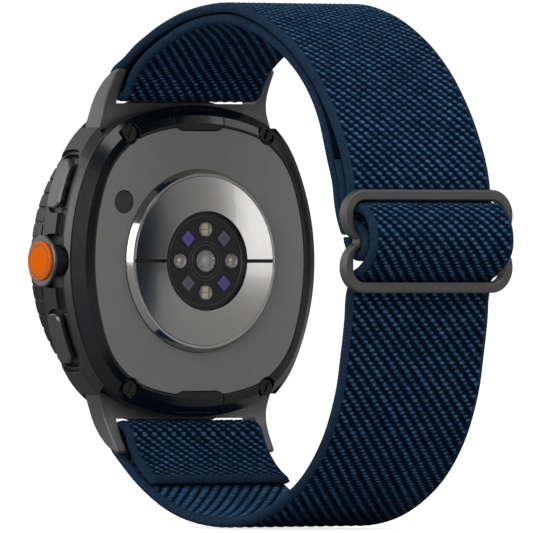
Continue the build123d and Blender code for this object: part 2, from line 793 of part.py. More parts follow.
with BuildPart() as upper_connector:
    with BuildSketch(across(-ARM_X)):
        with BuildLine():
            front = Spline(*yz([(-7.1, 17.6), (-7.05, 19.7), (-6.8, 21.6), (-6.15, 23.2),
                                (-4.85, 24.85), (-2.95, 26.25), (-1.7, 26.8)]))
            tip = ThreePointArc(front @ 1, *yz([(-1.05, 26.85), (-1.05, 26.4)]))
            rear = Spline(*yz([(-1.05, 26.4), (-1.75, 25.3), (-2.35, 24.3), (-3.1, 22.9),
                               (-3.6, 21.2), (-3.65, 19.5), (-3.6, 17.6)]))
            Line(rear @ 1, front @ 0)
        make_face()
    extrude(amount=2 * ARM_X)
    with BuildSketch(back(-3)):
        # the arms grow wider towards the case
        with BuildLine():
            flank = Spline((13.65, 27.5), (13.75, 25.6), (13.87, 23.9), (14.05, 22.5),
                           (14.4, 20.7), (14.85, 19.2), (15.1, 18.3), (15.15, 17.3))
            Polyline(flank @ 1, (18, 17.3), (18, 27.5), flank @ 0)
        make_face()
        mirror(about=Plane.YZ)
    extrude(amount=14, mode=Mode.SUBTRACT)
    with BuildSketch(back(-3)):
        # the gap between the arms
        with Locations((0, 40)):
            Rectangle(2 * ARM_INNER_X, 2 * (40 - CONNECTOR_TOP))
    extrude(amount=14, mode=Mode.SUBTRACT)
    with BuildSketch(back(-3)):
        # the concave side towards the case
        with BuildLine():
            ThreePointArc((-16, 17.98), (0, 20.4), (16, 17.98))
            Polyline((16, 17.98), (16, 10), (-16, 10), (-16, 17.98))
        make_face()
    extrude(amount=14, mode=Mode.SUBTRACT)
    # tongue with a keyhole for the latch pin
    with BuildSketch(back(4.5)):
        with Locations((0, 19.5)):
            Rectangle(3.6, 2.2)
        with Locations((0, 19.2)):
            Circle(1.12, mode=Mode.SUBTRACT)
        with Locations((0, 18.3)):
            Rectangle(1.3, 1.8, mode=Mode.SUBTRACT)
    extrude(amount=0.8)
    with BuildSketch(across(-PIN_REACH - 0.05)):
        with Locations((BACK_Y - PIN_DEPTH, PIN_Z)):
            Circle(PIN_R + 0.02)
    extrude(amount=2 * PIN_REACH + 0.1, mode=Mode.SUBTRACT)
    flanks = [f for f in upper_connector.faces() if abs(f.center().X) > 13.5 and f.area > 8]
    fillet(flanks[0].edges() + flanks[1].edges(), radius=0.3)
upper_connector.part.label = "upper_connector"

with BuildPart() as lower_connector:
    add(mirror(upper_connector.part, about=Plane.XY))
lower_connector.part.label = "lower_connector"

with BuildPart() as upper_band_pin:
    with BuildSketch(across(-PIN_REACH)):
        with Locations((BACK_Y - PIN_DEPTH, PIN_Z)):
            Circle(PIN_R)
    extrude(amount=2 * PIN_REACH)
    chamfer(upper_band_pin.edges(), length=0.15)
upper_band_pin.part.label = "upper_band_pin"

with BuildPart() as lower_band_pin:
    add(mirror(upper_band_pin.part, about=Plane.XY))
lower_band_pin.part.label = "lower_band_pin"

# ================= band =================
# distances from the back plate and heights, on the face away from the wrist unless noted

OUTER_FACE = [
    (-0.62, 24.6), (-1.25, 23.35), (-2.35, 22.6), (-3.75, 22.45), (-5.1, 23.1), (-5.95, 24.6),
    (-5.75, 26.3), (-4.9, 27.35), (-3.4, 28.15), (-1.3, 29.25), (0.6, 30.35), (3.0, 31.5),
    (5.4, 32.6), (8.4, 33.7), (12.2, 34.8), (15.1, 35.35), (19.0, 35.8), (22.9, 35.85),
    (27.9, 34.9), (31.5, 33.7), (35.0, 32.05), (37.9, 30.35), (40.9, 28.1), (42.8, 26.4),
    (45.7, 23.1), (48.1, 19.7), (50.0, 16.2), (51.25, 13.0), (51.9, 10.8),
]
INNER_FACE_START = [(-2.02, 24.75), (-0.95, 26.4), (1.0, 28.2), (4.7, 30.35), (10.1, 32.5)]
INNER_FACE_END = [(45.7, 19.2), (47.3, 14.6), (48.68, 10.6), (49.12, 8.0), (49.9, 5.6), (50.75, 4.0)]
FOLD_FACE = [
    (48.98, 14.2), (50.2, 10.6), (50.65, 8.3), (51.4, 6.75), (52.8, 5.6), (54.35, 4.7),
    (55.3, 3.7), (55.55, 2.6), (55.2, 1.25), (54.2, 0.25), (52.9, -0.02), (51.6, 0.42),
    (50.5, 1.55), (49.75, 2.95),
]
SLIDE_FACE = [
    (52.0, 10.35), (52.04, 9.2), (52.14, 8.5), (52.55, 8.1), (53.4, 7.95), (54.4, 7.75),
    (55.6, 7.0), (56.6, 5.8), (57.2, 4.4), (57.4, 2.9), (57.2, 1.4), (56.45, 0.1),
    (55.4, -0.98), (54.2, -1.8), (53.15, -2.33), (52.5, -2.65), (52.14, -3.2), (52.0, -3.95),
    (51.95, -4.7),
]
LOWER_FACE = [
    (51.75, -5.1), (51.55, -7.0), (51.15, -10.0), (50.4, -13.9), (49.7, -17.2), (48.5, -20.6),
    (46.9, -23.9), (44.5, -27.3), (41.2, -30.6), (38.8, -32.3), (35.7, -34.0), (30.8, -35.85),
    (24.0, -36.95), (17.0, -36.8), (10.8, -35.7), (6.1, -34.0), (2.75, -32.3), (-0.1, -30.6),
    (-2.5, -29.0), (-4.6, -27.45), (-5.75, -26.2), (-5.95, -24.6), (-5.1, -23.1),
    (-3.75, -22.45), (-2.35, -22.6), (-1.25, -23.35), (-0.62, -24.6),
]
LOWER_FOLD_FACE = [(4.9, -31.68), (2.3, -30.2), (0.25, -28.35), (-1.35, -26.2), (-2.0, -24.85)]

with BuildPart() as band_outer_layer:
    with BuildSketch(Plane.YZ):
        with BuildLine():
            draw_band(yz(OUTER_FACE))
        make_face()
    extrude(amount=BAND_W / 2, both=True)
band_outer_layer.part.label = "band_outer_layer"

under_outer = shifted(yz([p for p in OUTER_FACE if p[0] > 14 and p[1] > 20]), BAND_T + 0.12)
inner_face = yz(INNER_FACE_START) + under_outer[3:-2:3] + yz(INNER_FACE_END)
with BuildPart() as band_inner_layer:
    with BuildSketch(Plane.YZ):
        with BuildLine():
            draw_band(inner_face)
        make_face()
    extrude(amount=BAND_W / 2, both=True)
band_inner_layer.part.label = "band_inner_layer"

with BuildPart() as band_end_fold:
    with BuildSketch(Plane.YZ):
        with BuildLine():
            draw_band(yz(FOLD_FACE))
        make_face()
    extrude(amount=BAND_W / 2, both=True)
band_end_fold.part.label = "band_end_fold"

with BuildPart() as band_slide_loop:
    with BuildSketch(Plane.YZ):
        with BuildLine():
            draw_band(yz(SLIDE_FACE))
        make_face()
    extrude(amount=BAND_W / 2, both=True)
band_slide_loop.part.label = "band_slide_loop"

with BuildPart() as band_lower_run:
    with BuildSketch(Plane.YZ):
        with BuildLine():
            draw_band(yz(LOWER_FACE))
        make_face()
    extrude(amount=BAND_W / 2, both=True)
band_lower_run.part.label = "band_lower_run"

with BuildPart() as band_lower_fold:
    with BuildSketch(Plane.YZ):
        with BuildLine():
            draw_band(yz(LOWER_FOLD_FACE))
        make_face()
    extrude(amount=BAND_W / 2, both=True)
band_lower_fold.part.label = "band_lower_fold"

STITCHES, STITCH_PITCH = 18, 1.25
stitch_face = shifted(yz(LOWER_FOLD_FACE), BAND_T + 0.02)
stitch_at = stitch_face[1]
stitch_next = stitch_face[2]
stitch_way = Vector(0, stitch_next[0] - stitch_at[0], stitch_next[1] - stitch_at[1])
stitch_plane = Plane(origin=(0, *stitch_at), x_dir=(1, 0, 0), z_dir=stitch_way.cross(Vector(1, 0, 0)))
with BuildPart() as band_stitching:
    with BuildSketch(stitch_plane):
        with GridLocations(STITCH_PITCH, 1, STITCHES, 1):
            SlotOverall(0.85, 0.3)
    extrude(amount=0.12)
band_stitching.part.label = "band_stitching"

# ================= slide adjuster =================

with BuildPart() as slide_adjuster:
    with BuildSketch(Plane(origin=(0, SLIDER_Y, SLIDER_Z), x_dir=(-1, 0, 0), z_dir=(0, 1, 0))):
        with GridLocations(1, SLIDER_LOBE, 1, 2):
            SlotOverall(SLIDER_W, SLIDER_LOBE)
        Rectangle(SLIDER_W - 4.4, 2.2)
        opening = SLIDER_LOBE - 1.5 * SLIDER_BAR
        with GridLocations(1, opening + SLIDER_BAR, 1, 2):
            RectangleRounded(SLIDER_W - 2 * SLIDER_BAR, opening, 1.9, mode=Mode.SUBTRACT)
    extrude(amount=SLIDER_T)
    flat_faces = slide_adjuster.faces().filter_by(Axis.Y)
    fillet(flat_faces.edges(), radius=0.3)
slide_adjuster.part.label = "slide_adjuster"

PIECES = [
    rear_cover, rear_plate, vent_membrane, rear_screws, rear_seal,
    dome_ring, electrode_upper, electrode_lower, electrode_insulator,
    sensor_lens, sensor_carrier, centre_led, led_windows, violet_windows, grey_windows,
    sensor_board, mid_frame, display_seal, display_glass, display_panel,
    rotating_bezel, bezel_insert, bezel_retainer,
    charging_coil, battery, main_board, board_shield, vibration_motor, speaker, button_flex,
    quick_button_bushing, quick_button_collar, quick_button_seal, quick_button_cap,
    quick_button_ring, upper_pusher, lower_pusher, upper_pusher_seal, lower_pusher_seal,
    upper_release_button, lower_release_button, upper_release_springs, lower_release_springs,
    upper_connector, lower_connector, upper_band_pin, lower_band_pin,
    band_outer_layer, band_inner_layer, band_end_fold, band_slide_loop,
    band_lower_run, band_lower_fold, band_stitching, slide_adjuster,
]

for piece in PIECES:
    export_step(piece.part, f"parts/{piece.part.label}.step")
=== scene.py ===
"""A smart watch on a woven elastic loop band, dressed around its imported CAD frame.

Lengths are in metres unless a name says otherwise. Routes and weave sizes are in millimetres,
as in the CAD: "y" there is the distance from the flat back plate, away from the watch.
"""

import json
import math

import bmesh
import bpy
import numpy as np
from mathutils import Vector
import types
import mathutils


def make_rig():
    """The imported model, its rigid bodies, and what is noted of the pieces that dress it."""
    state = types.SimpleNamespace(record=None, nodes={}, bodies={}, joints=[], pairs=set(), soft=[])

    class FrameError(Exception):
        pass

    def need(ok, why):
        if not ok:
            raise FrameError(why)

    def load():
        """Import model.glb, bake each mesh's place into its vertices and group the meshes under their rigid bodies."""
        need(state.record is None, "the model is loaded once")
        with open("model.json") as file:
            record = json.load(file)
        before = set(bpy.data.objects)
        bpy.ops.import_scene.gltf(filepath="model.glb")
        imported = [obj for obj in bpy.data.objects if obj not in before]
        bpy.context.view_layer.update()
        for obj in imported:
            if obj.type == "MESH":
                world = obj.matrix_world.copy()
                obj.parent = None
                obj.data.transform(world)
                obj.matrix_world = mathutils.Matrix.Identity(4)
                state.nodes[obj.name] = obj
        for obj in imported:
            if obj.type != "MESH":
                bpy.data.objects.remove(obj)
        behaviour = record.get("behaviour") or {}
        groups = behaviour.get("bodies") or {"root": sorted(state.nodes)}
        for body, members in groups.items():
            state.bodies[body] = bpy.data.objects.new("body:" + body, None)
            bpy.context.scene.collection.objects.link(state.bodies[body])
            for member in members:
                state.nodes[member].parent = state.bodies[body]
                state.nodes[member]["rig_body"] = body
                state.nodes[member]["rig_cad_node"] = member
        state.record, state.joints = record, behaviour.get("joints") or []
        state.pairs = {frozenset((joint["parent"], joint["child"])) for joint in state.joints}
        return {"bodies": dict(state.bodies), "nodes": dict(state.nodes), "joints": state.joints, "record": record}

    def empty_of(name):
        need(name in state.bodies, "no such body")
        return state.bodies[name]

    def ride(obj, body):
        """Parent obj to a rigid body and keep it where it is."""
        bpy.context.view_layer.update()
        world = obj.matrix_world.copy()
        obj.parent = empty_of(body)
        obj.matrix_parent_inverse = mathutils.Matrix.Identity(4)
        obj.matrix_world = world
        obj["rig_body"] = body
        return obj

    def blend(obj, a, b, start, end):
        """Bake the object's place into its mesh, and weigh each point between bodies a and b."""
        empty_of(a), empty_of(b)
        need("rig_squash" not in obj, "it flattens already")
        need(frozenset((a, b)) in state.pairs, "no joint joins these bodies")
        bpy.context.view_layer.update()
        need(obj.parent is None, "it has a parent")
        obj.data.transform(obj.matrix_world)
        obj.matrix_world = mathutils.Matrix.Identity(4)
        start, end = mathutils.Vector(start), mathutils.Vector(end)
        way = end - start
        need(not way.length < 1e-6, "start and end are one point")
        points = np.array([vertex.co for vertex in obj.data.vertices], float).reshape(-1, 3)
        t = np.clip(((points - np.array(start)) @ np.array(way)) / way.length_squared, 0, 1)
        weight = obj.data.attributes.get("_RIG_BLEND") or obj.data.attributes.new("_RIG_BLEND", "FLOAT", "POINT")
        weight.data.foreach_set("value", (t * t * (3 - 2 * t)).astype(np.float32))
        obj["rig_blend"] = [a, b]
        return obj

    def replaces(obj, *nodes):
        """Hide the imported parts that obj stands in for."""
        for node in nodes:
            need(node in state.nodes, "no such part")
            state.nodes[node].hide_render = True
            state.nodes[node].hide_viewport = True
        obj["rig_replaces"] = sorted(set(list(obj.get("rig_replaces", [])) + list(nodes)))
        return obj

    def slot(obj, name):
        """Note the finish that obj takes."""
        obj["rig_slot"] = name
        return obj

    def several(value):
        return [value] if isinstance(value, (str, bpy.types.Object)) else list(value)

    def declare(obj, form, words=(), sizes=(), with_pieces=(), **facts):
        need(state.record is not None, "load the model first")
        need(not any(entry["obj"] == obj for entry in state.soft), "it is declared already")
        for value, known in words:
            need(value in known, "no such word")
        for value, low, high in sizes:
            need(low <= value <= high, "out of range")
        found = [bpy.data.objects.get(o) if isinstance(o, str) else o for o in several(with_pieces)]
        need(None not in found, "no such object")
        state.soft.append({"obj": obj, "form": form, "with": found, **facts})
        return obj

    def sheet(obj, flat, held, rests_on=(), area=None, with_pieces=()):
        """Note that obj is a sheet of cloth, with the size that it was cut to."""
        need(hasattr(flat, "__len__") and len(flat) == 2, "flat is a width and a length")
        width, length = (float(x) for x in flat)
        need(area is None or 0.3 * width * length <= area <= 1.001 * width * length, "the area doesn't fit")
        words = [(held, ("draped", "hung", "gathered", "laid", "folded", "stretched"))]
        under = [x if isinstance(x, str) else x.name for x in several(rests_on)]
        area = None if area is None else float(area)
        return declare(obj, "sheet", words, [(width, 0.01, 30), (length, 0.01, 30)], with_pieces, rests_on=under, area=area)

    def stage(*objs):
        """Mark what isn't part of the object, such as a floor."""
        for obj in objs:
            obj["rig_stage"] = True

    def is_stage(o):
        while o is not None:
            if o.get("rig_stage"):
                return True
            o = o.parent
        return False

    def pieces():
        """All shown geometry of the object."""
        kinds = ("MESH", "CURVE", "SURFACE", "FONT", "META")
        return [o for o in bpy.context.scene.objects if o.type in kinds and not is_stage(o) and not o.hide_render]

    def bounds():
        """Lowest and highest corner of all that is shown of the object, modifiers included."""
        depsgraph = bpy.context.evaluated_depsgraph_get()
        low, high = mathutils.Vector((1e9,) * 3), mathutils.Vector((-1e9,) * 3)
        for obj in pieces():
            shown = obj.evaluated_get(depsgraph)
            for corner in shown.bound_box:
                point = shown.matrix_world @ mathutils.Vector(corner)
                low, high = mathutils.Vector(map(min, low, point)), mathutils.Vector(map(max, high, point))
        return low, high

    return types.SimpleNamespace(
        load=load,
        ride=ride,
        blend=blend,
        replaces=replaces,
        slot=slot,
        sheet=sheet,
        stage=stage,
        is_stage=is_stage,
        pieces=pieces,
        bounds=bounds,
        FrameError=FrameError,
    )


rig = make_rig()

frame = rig.load()
cad_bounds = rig.bounds()

MM = 0.001
BACK_Y = -25.5
BAND_W, BAND_T = 23.7, 1.4

# ================= camera, stage and light =================

RIGHT = Vector((-0.807, 0.590, 0.0))
TOWARDS = Vector((0.590, 0.807, 0.0)).normalized()
UP = Vector((0.0, 0.0, 1.0))
TARGET = Vector((0.0, -9.7, -0.77)) * MM
DISTANCE = 2.069


def aim(obj, at):
    """Turn an object so that its local -Z points at a place."""
    obj.rotation_euler = (at - obj.location).to_track_quat("-Z", "Y").to_euler()


camera_data = bpy.data.cameras.new("camera")
camera_data.lens = 1000.0
camera_data.sensor_width = 36.0
camera_data.clip_start = 0.05
camera_data.clip_end = 50.0
camera = bpy.data.objects.new("camera", camera_data)
camera.location = TARGET + TOWARDS * DISTANCE
aim(camera, TARGET)
bpy.context.scene.collection.objects.link(camera)
bpy.context.scene.camera = camera
bpy.context.scene.view_settings.view_transform = "Standard"


def softbox(name, way, far, size, radiance):
    """A rectangular lamp of an even radiance, aimed at the watch from a direction in the frame."""
    data = bpy.data.lights.new(name, "AREA")
    data.shape = "RECTANGLE"
    data.size, data.size_y = size
    data.energy = radiance * math.pi * size[0] * size[1]
    lamp = bpy.data.objects.new(name, data)
    lamp.location = TARGET + Vector(way).normalized() * far
    aim(lamp, TARGET)
    bpy.context.scene.collection.objects.link(lamp)


softbox("key", (-0.804, 0.595, 0.10), 0.80, (0.22, 0.90), 1.55)
softbox("side", (-0.588, 0.809, 0.10), 0.80, (0.29, 0.90), 0.17)
softbox("front", (0.470, 0.883, 0.02), 0.90, (0.55, 0.90), 1.35)
softbox("top", (-0.10, 0.52, 0.85), 0.90, (0.80, 0.70), 2.3)
softbox("fill", (0.90, 0.35, 0.25), 0.80, (0.35, 0.70), 3.2)

world = bpy.data.worlds.new("studio")
bpy.context.scene.world = world
world.use_nodes = True
sky = world.node_tree
sky.nodes.clear()


def sky_node(kind, **settings):
    made = sky.nodes.new("ShaderNode" + kind)
    for key, value in settings.items():
        setattr(made, key, value)
    return made


# white to the eye; as light, a bright backdrop behind the buttons' side and a dim room elsewhere
sky_out = sky_node("OutputWorld")
sky_seen = sky_node("Background")
sky_seen.inputs["Color"].default_value = (1.0, 1.0, 1.0, 1.0)
sky_seen.inputs["Strength"].default_value = 1.05
sky_light = sky_node("Background")
sky_light.inputs["Color"].default_value = (1.0, 0.99, 0.98, 1.0)
sky_way = sky_node("TexCoord")
sky_dot = sky_node("VectorMath", operation="DOT_PRODUCT")
sky_dot.inputs[1].default_value = (0.588, -0.809, 0.0)
sky_span = sky_node("MapRange")
for socket, value in zip(list(sky_span.inputs)[1:5], (0.30, 0.95, 0.08, 1.15)):
    socket.default_value = value
sky_path = sky_node("LightPath")
sky_pick = sky_node("MixShader")
for start, end in ((sky_way.outputs["Generated"], sky_dot.inputs[0]),
                   (sky_dot.outputs["Value"], sky_span.inputs[0]),
                   (sky_span.outputs[0], sky_light.inputs["Strength"]),
                   (sky_path.outputs["Is Camera Ray"], sky_pick.inputs[0]),
                   (sky_light.outputs[0], sky_pick.inputs[1]),
                   (sky_seen.outputs[0], sky_pick.inputs[2]),
                   (sky_pick.outputs[0], sky_out.inputs[0])):
    sky.links.new(start, end)

# ================= node helpers =================


class Nodes:
    """A short way to write a material's nodes."""

    def __init__(self, name):
        self.material = bpy.data.materials.new(name)
        self.material.use_nodes = True
        self.tree = self.material.node_tree
        self.tree.nodes.clear()
        out = self.tree.nodes.new("ShaderNodeOutputMaterial")
        self.shader = self.tree.nodes.new("ShaderNodeBsdfPrincipled")
        self.tree.links.new(self.shader.outputs[0], out.inputs[0])

    def put(self, socket, value):
        """Link a socket to an output, or set it."""
        if isinstance(value, bpy.types.NodeSocket):
            self.tree.links.new(value, socket)
        else:
            socket.default_value = value

    def add(self, kind, inputs=None, **settings):
        made = self.tree.nodes.new("ShaderNode" + kind)
        for key, value in settings.items():
            setattr(made, key, value)
        for key, value in (inputs or {}).items():
            self.put(made.inputs[key], value)
        return made

    def math(self, operation, a, b=0.0, clamp=False):
        return self.add("Math", {0: a, 1: b}, operation=operation, use_clamp=clamp).outputs[0]

    def vector(self, operation, a, b=(0.0, 0.0, 0.0)):
        made = self.add("VectorMath", {0: a, 1: b}, operation=operation)
        return made.outputs["Value"] if operation in ("LENGTH", "DOT_PRODUCT") else made.outputs[0]

    def mix(self, factor, a, b):
        return self.add("Mix", {0: factor, 6: rgba(a), 7: rgba(b)}, data_type="RGBA").outputs[2]

    def span(self, value, low, high, to_low=0.0, to_high=1.0):
        """Map a value from one range to another, and keep it there."""
        return self.add("MapRange", {0: value, 1: low, 2: high, 3: to_low, 4: to_high}).outputs[0]

    def noise(self, where, scale, detail=3.0, rough=0.55):
        return self.add("TexNoise", {"Vector": where, "Scale": scale, "Detail": detail,
                                     "Roughness": rough}).outputs[0]

    def place(self):
        """The point on the object, in metres, in the frame's axes."""
        return self.add("TexCoord").outputs["Object"]

    def bump(self, height, strength, distance, normal=None):
        inputs = {"Height": height, "Strength": strength, "Distance": distance}
        if normal is not None:
            inputs["Normal"] = normal
        return self.add("Bump", inputs).outputs[0]

    def set(self, **values):
        """Set the shader's sockets: underscores stand for spaces."""
        for key, value in values.items():
            self.put(self.shader.inputs[key.replace("_", " ")], value)


def rgba(value):
    if isinstance(value, bpy.types.NodeSocket):
        return value
    return (*value, 1.0)


def linear(r, g, b):
    """A colour given as 0 to 255 on a screen."""
    def one(c):
        c = c / 255
        return c / 12.92 if c <= 0.04045 else ((c + 0.055) / 1.055) ** 2.4
    return (one(r), one(g), one(b))


def scaled(colour, k):
    return tuple(min(1.0, c * k) for c in colour)


materials = {}


def solid(slot, colour, rough, metal=0.0, grain=4000.0, mottle=0.12, bumpy=0.15, depth=0.00001,
          edge=0.00008, wear_and_highlight=1.35, brushed=None, coat=0.0, coat_rough=0.1, level=0.5, ior=1.45):
    """A hard material: fine grain, slow mottling, and softened edges painted lighter and made smoother, partly as wear
    and partly as a painted highlight.
    """
    n = Nodes(slot)
    where = n.place()
    if brushed:
        where = n.vector("MULTIPLY", where, brushed)
    fine = n.noise(where, grain, 4.0)
    slow = n.noise(n.place(), grain / 25, 2.0)
    base = n.mix(n.span(fine, 0.3, 0.7), scaled(colour, 1 - mottle), scaled(colour, 1 + mottle))
    stain = n.math("MULTIPLY", n.span(slow, 0.35, 0.7), 0.35)
    base = n.mix(stain, base, scaled(colour, 1 - 1.5 * mottle))
    if edge:
        soft = n.add("Bevel", {"Radius": edge}, samples=4).outputs[0]
        flat = n.add("NewGeometry").outputs["Normal"]
        turn = n.math("SUBTRACT", 1.0, n.vector("DOT_PRODUCT", soft, flat))
        # edges painted lighter: rubbed wear, and a painted highlight where the edge turns
        worn_and_highlit = n.math("MULTIPLY", n.span(turn, 0.01, 0.12), n.span(slow, 0.25, 0.6, 0.35, 1.0))
        base = n.mix(worn_and_highlit, base, scaled(colour, wear_and_highlight))
        rough_out = n.math("SUBTRACT", n.span(fine, 0.25, 0.75, rough - 0.05, rough + 0.06),
                           n.math("MULTIPLY", worn_and_highlit, 0.08), clamp=True)
        normal = n.bump(fine, bumpy, depth, soft)
    else:
        rough_out = n.span(fine, 0.25, 0.75, rough - 0.05, rough + 0.06)
        normal = n.bump(fine, bumpy, depth)
    n.set(Base_Color=base, Roughness=rough_out, Normal=normal, Metallic=metal, IOR=ior)
    n.set(Coat_Weight=coat, Coat_Roughness=coat_rough, Specular_IOR_Level=level)
    materials[slot] = n.material
    return n


# ================= hard materials =================

# each material's wear factor paints its edges lighter, for rubbed wear and as a painted highlight
solid("case_metal", linear(84, 84, 85), 0.36, metal=0.85, grain=9000, bumpy=0.2, wear_and_highlight=1.9)
solid("rim_gloss", linear(7, 9, 14), 0.24, grain=6000, mottle=0.10, bumpy=0.02, coat=0.5,
      coat_rough=0.16, wear_and_highlight=2.2, edge=0.00012)
solid("plate_grey", linear(136, 136, 135), 0.48, metal=0.15, grain=12000, mottle=0.08, bumpy=0.25,
      level=0.3)
solid("polished_ring", linear(200, 198, 196), 0.10, metal=1.0, grain=3000, mottle=0.04, bumpy=0.03)
solid("insulator_black", linear(6, 6, 6), 0.45, grain=9000)
solid("carrier_black", linear(30, 30, 30), 0.40, grain=9000)
vent = solid("vent_dark", linear(60, 60, 60), 0.75, grain=14000, mottle=0.35, bumpy=0.6)
from_middle = vent.vector("SUBTRACT", vent.place(), (13.1 * MM, BACK_Y * MM, 8.3 * MM))
from_middle = vent.vector("LENGTH", vent.vector("MULTIPLY", from_middle, (1.0, 0.0, 1.0)))
ring_shade = vent.span(from_middle, 0.00142, 0.00152, 1.0, 0.05)
vent.set(Base_Color=vent.mix(ring_shade, (0.0, 0.0, 0.0), linear(58, 58, 58)))
solid("screw_steel", linear(62, 61, 60), 0.30, metal=1.0, grain=6000, brushed=(1, 1, 8), wear_and_highlight=2.5)
solid("seal_rubber", linear(18, 18, 19), 0.62, grain=7000, bumpy=0.3)
solid("board_green", linear(16, 62, 40), 0.40, grain=2500, mottle=0.3)
solid("display_glass", linear(4, 4, 6), 0.05, grain=900, mottle=0.2, bumpy=0.01, coat=1.0,
      coat_rough=0.02)
solid("panel_black", linear(6, 6, 7), 0.25, grain=4000)
solid("bezel_metal", linear(74, 74, 75), 0.32, metal=0.9, grain=9000, wear_and_highlight=2.0)
solid("bezel_insert", linear(26, 27, 29), 0.38, metal=0.4, grain=9000)
solid("retainer_steel", linear(150, 150, 152), 0.25, metal=1.0, grain=5000)
solid("coil_copper", linear(184, 105, 60), 0.28, metal=1.0, grain=2500, mottle=0.2)
solid("battery_foil", linear(120, 122, 126), 0.35, metal=0.8, grain=1800, mottle=0.2, bumpy=0.4)
solid("shield_steel", linear(165, 165, 163), 0.25, metal=1.0, grain=5000, brushed=(1, 12, 1))
solid("motor_steel", linear(150, 150, 152), 0.22, metal=1.0, grain=5000, brushed=(10, 1, 1))
solid("speaker_black", linear(14, 14, 15), 0.55, grain=5000)
solid("flex_amber", linear(150, 92, 30), 0.35, grain=2500, mottle=0.25)
# near black, so that it reads as the dark well around the stem
solid("bushing_brass", linear(22, 21, 20), 0.40, metal=0.6, grain=4000)
solid("collar_grey", linear(120, 120, 121), 0.32, metal=0.85, grain=8000, wear_and_highlight=1.6)
solid("cap_orange", (1.0, 0.16, 0.0), 0.6, grain=9000, mottle=0.04, bumpy=0.2, wear_and_highlight=1.02,
      level=0.05)
solid("ring_grey", linear(118, 112, 108), 0.45, metal=0.1, grain=9000)
solid("pusher_metal", linear(112, 112, 113), 0.28, metal=0.9, grain=9000, edge=0.0)
solid("release_gloss", linear(9, 12, 17), 0.15, grain=1500, mottle=0.25, bumpy=0.03, coat=0.5,
      coat_rough=0.06, wear_and_highlight=6.0, edge=0.00016)
solid("spring_steel", linear(150, 150, 152), 0.25, metal=1.0, grain=5000)
solid("connector_metal", linear(108, 108, 109), 0.38, metal=0.7, grain=9000, wear_and_highlight=1.8, edge=0.00012)
solid("pin_steel", linear(90, 90, 92), 0.25, metal=1.0, grain=5000, brushed=(8, 1, 1))
solid("slider_metal", linear(96, 95, 94), 0.42, metal=0.5, grain=8000, mottle=0.10, bumpy=0.35,
      wear_and_highlight=1.5, edge=0.0002)


def electrode():
    """Steel turned on a lathe: fine rings round the watch's axis, with a smeared highlight."""
    n = Nodes("electrode_steel")
    where = n.place()
    parts = n.add("SeparateXYZ", {0: where}).outputs
    radius = n.math("SQRT", n.math("ADD", n.math("MULTIPLY", parts[0], parts[0]),
                                   n.math("MULTIPLY", parts[2], parts[2])))
    rings = n.noise(n.add("CombineXYZ", {0: radius, 1: 0.0, 2: 0.0}).outputs[0], 9000.0, 4.0, 0.7)
    around = n.add("CombineXYZ", {0: parts[2], 1: 0.0, 2: n.math("MULTIPLY", parts[0], -1.0)}).outputs[0]
    tangent = n.vector("NORMALIZE", around)
    base = n.mix(n.span(rings, 0.3, 0.7), linear(186, 185, 184), linear(194, 193, 192))
    soft = n.add("Bevel", {"Radius": 0.0001}, samples=4).outputs[0]
    n.set(Base_Color=base, Metallic=1.0, Roughness=n.span(rings, 0.3, 0.7, 0.19, 0.22),
          Normal=n.bump(rings, 0.02, 0.000001, soft), Anisotropic=0.30, Tangent=tangent,
          Coat_Weight=1.0, Coat_Roughness=0.015, Coat_IOR=1.5)
    materials["electrode_steel"] = n.material


electrode()


def lens():
    """Dark clear glass over the sensor, seen through, with printed rings under it."""
    n = Nodes("lens_glass")
    where = n.place()
    smear = n.noise(where, 350.0, 3.0)
    n.set(Base_Color=(0.004, 0.004, 0.005, 1.0), Roughness=n.span(smear, 0.3, 0.7, 0.02, 0.05),
          Alpha=0.06, IOR=1.5, Specular_IOR_Level=0.5, Coat_Weight=1.0, Coat_Roughness=0.01,
          Normal=n.bump(smear, 0.02, 0.00002))
    materials["lens_glass"] = n.material


lens()


def window(slot, colour, centres, glow, rough=0.12, painted_light_wash=None):
    """A coated window over a chip: colour that changes over it, a softer spot, and where asked an even wash of painted
    light, which lightens the window against the shade of the cup around it.
    """
    n = Nodes(slot)
    where = n.place()
    grain = n.noise(where, 5200.0, 3.0)
    spot = None
    for x, z in centres:
        gone = n.vector("SUBTRACT", where, (x * MM, 0.0, z * MM))
        flat = n.vector("MULTIPLY", gone, (1.0, 0.0, 1.0))
        near = n.span(n.vector("LENGTH", flat), 0.00015, 0.0009, 1.0, 0.0)
        spot = near if spot is None else n.math("MAXIMUM", spot, near)
    base = n.mix(n.span(grain, 0.3, 0.7), scaled(colour, 0.8), scaled(colour, 1.2))
    base = n.mix(spot, base, glow)
    soft = n.add("Bevel", {"Radius": 0.00012}, samples=4).outputs[0]
    # painted light: the window lightened evenly, against the shade of the cup it sits in
    if painted_light_wash:
        base = n.mix(0.75, base, painted_light_wash)
    n.set(Base_Color=base, Roughness=n.span(grain, 0.3, 0.7, rough - 0.04, rough + 0.04),
          Normal=n.bump(grain, 0.08, 0.00001, soft), Coat_Weight=0.6, Coat_Roughness=0.05)
    materials[slot] = n.material


RING = 4.45
window("violet_window", linear(116, 106, 192), [(3.1, 3.15), (-3.1, -3.15)], linear(98, 86, 168))
window("grey_window", linear(122, 120, 136), [(-3.1, 3.15), (3.1, -3.15)], linear(100, 98, 112))
window("led_window", linear(150, 144, 128), [(RING, 0), (-RING, 0), (0, RING), (0, -RING)],
       linear(232, 222, 190), painted_light_wash=linear(244, 232, 196))
window("led_silver", linear(168, 166, 164), [(0, 0)], linear(220, 220, 224))

# ================= band materials =================


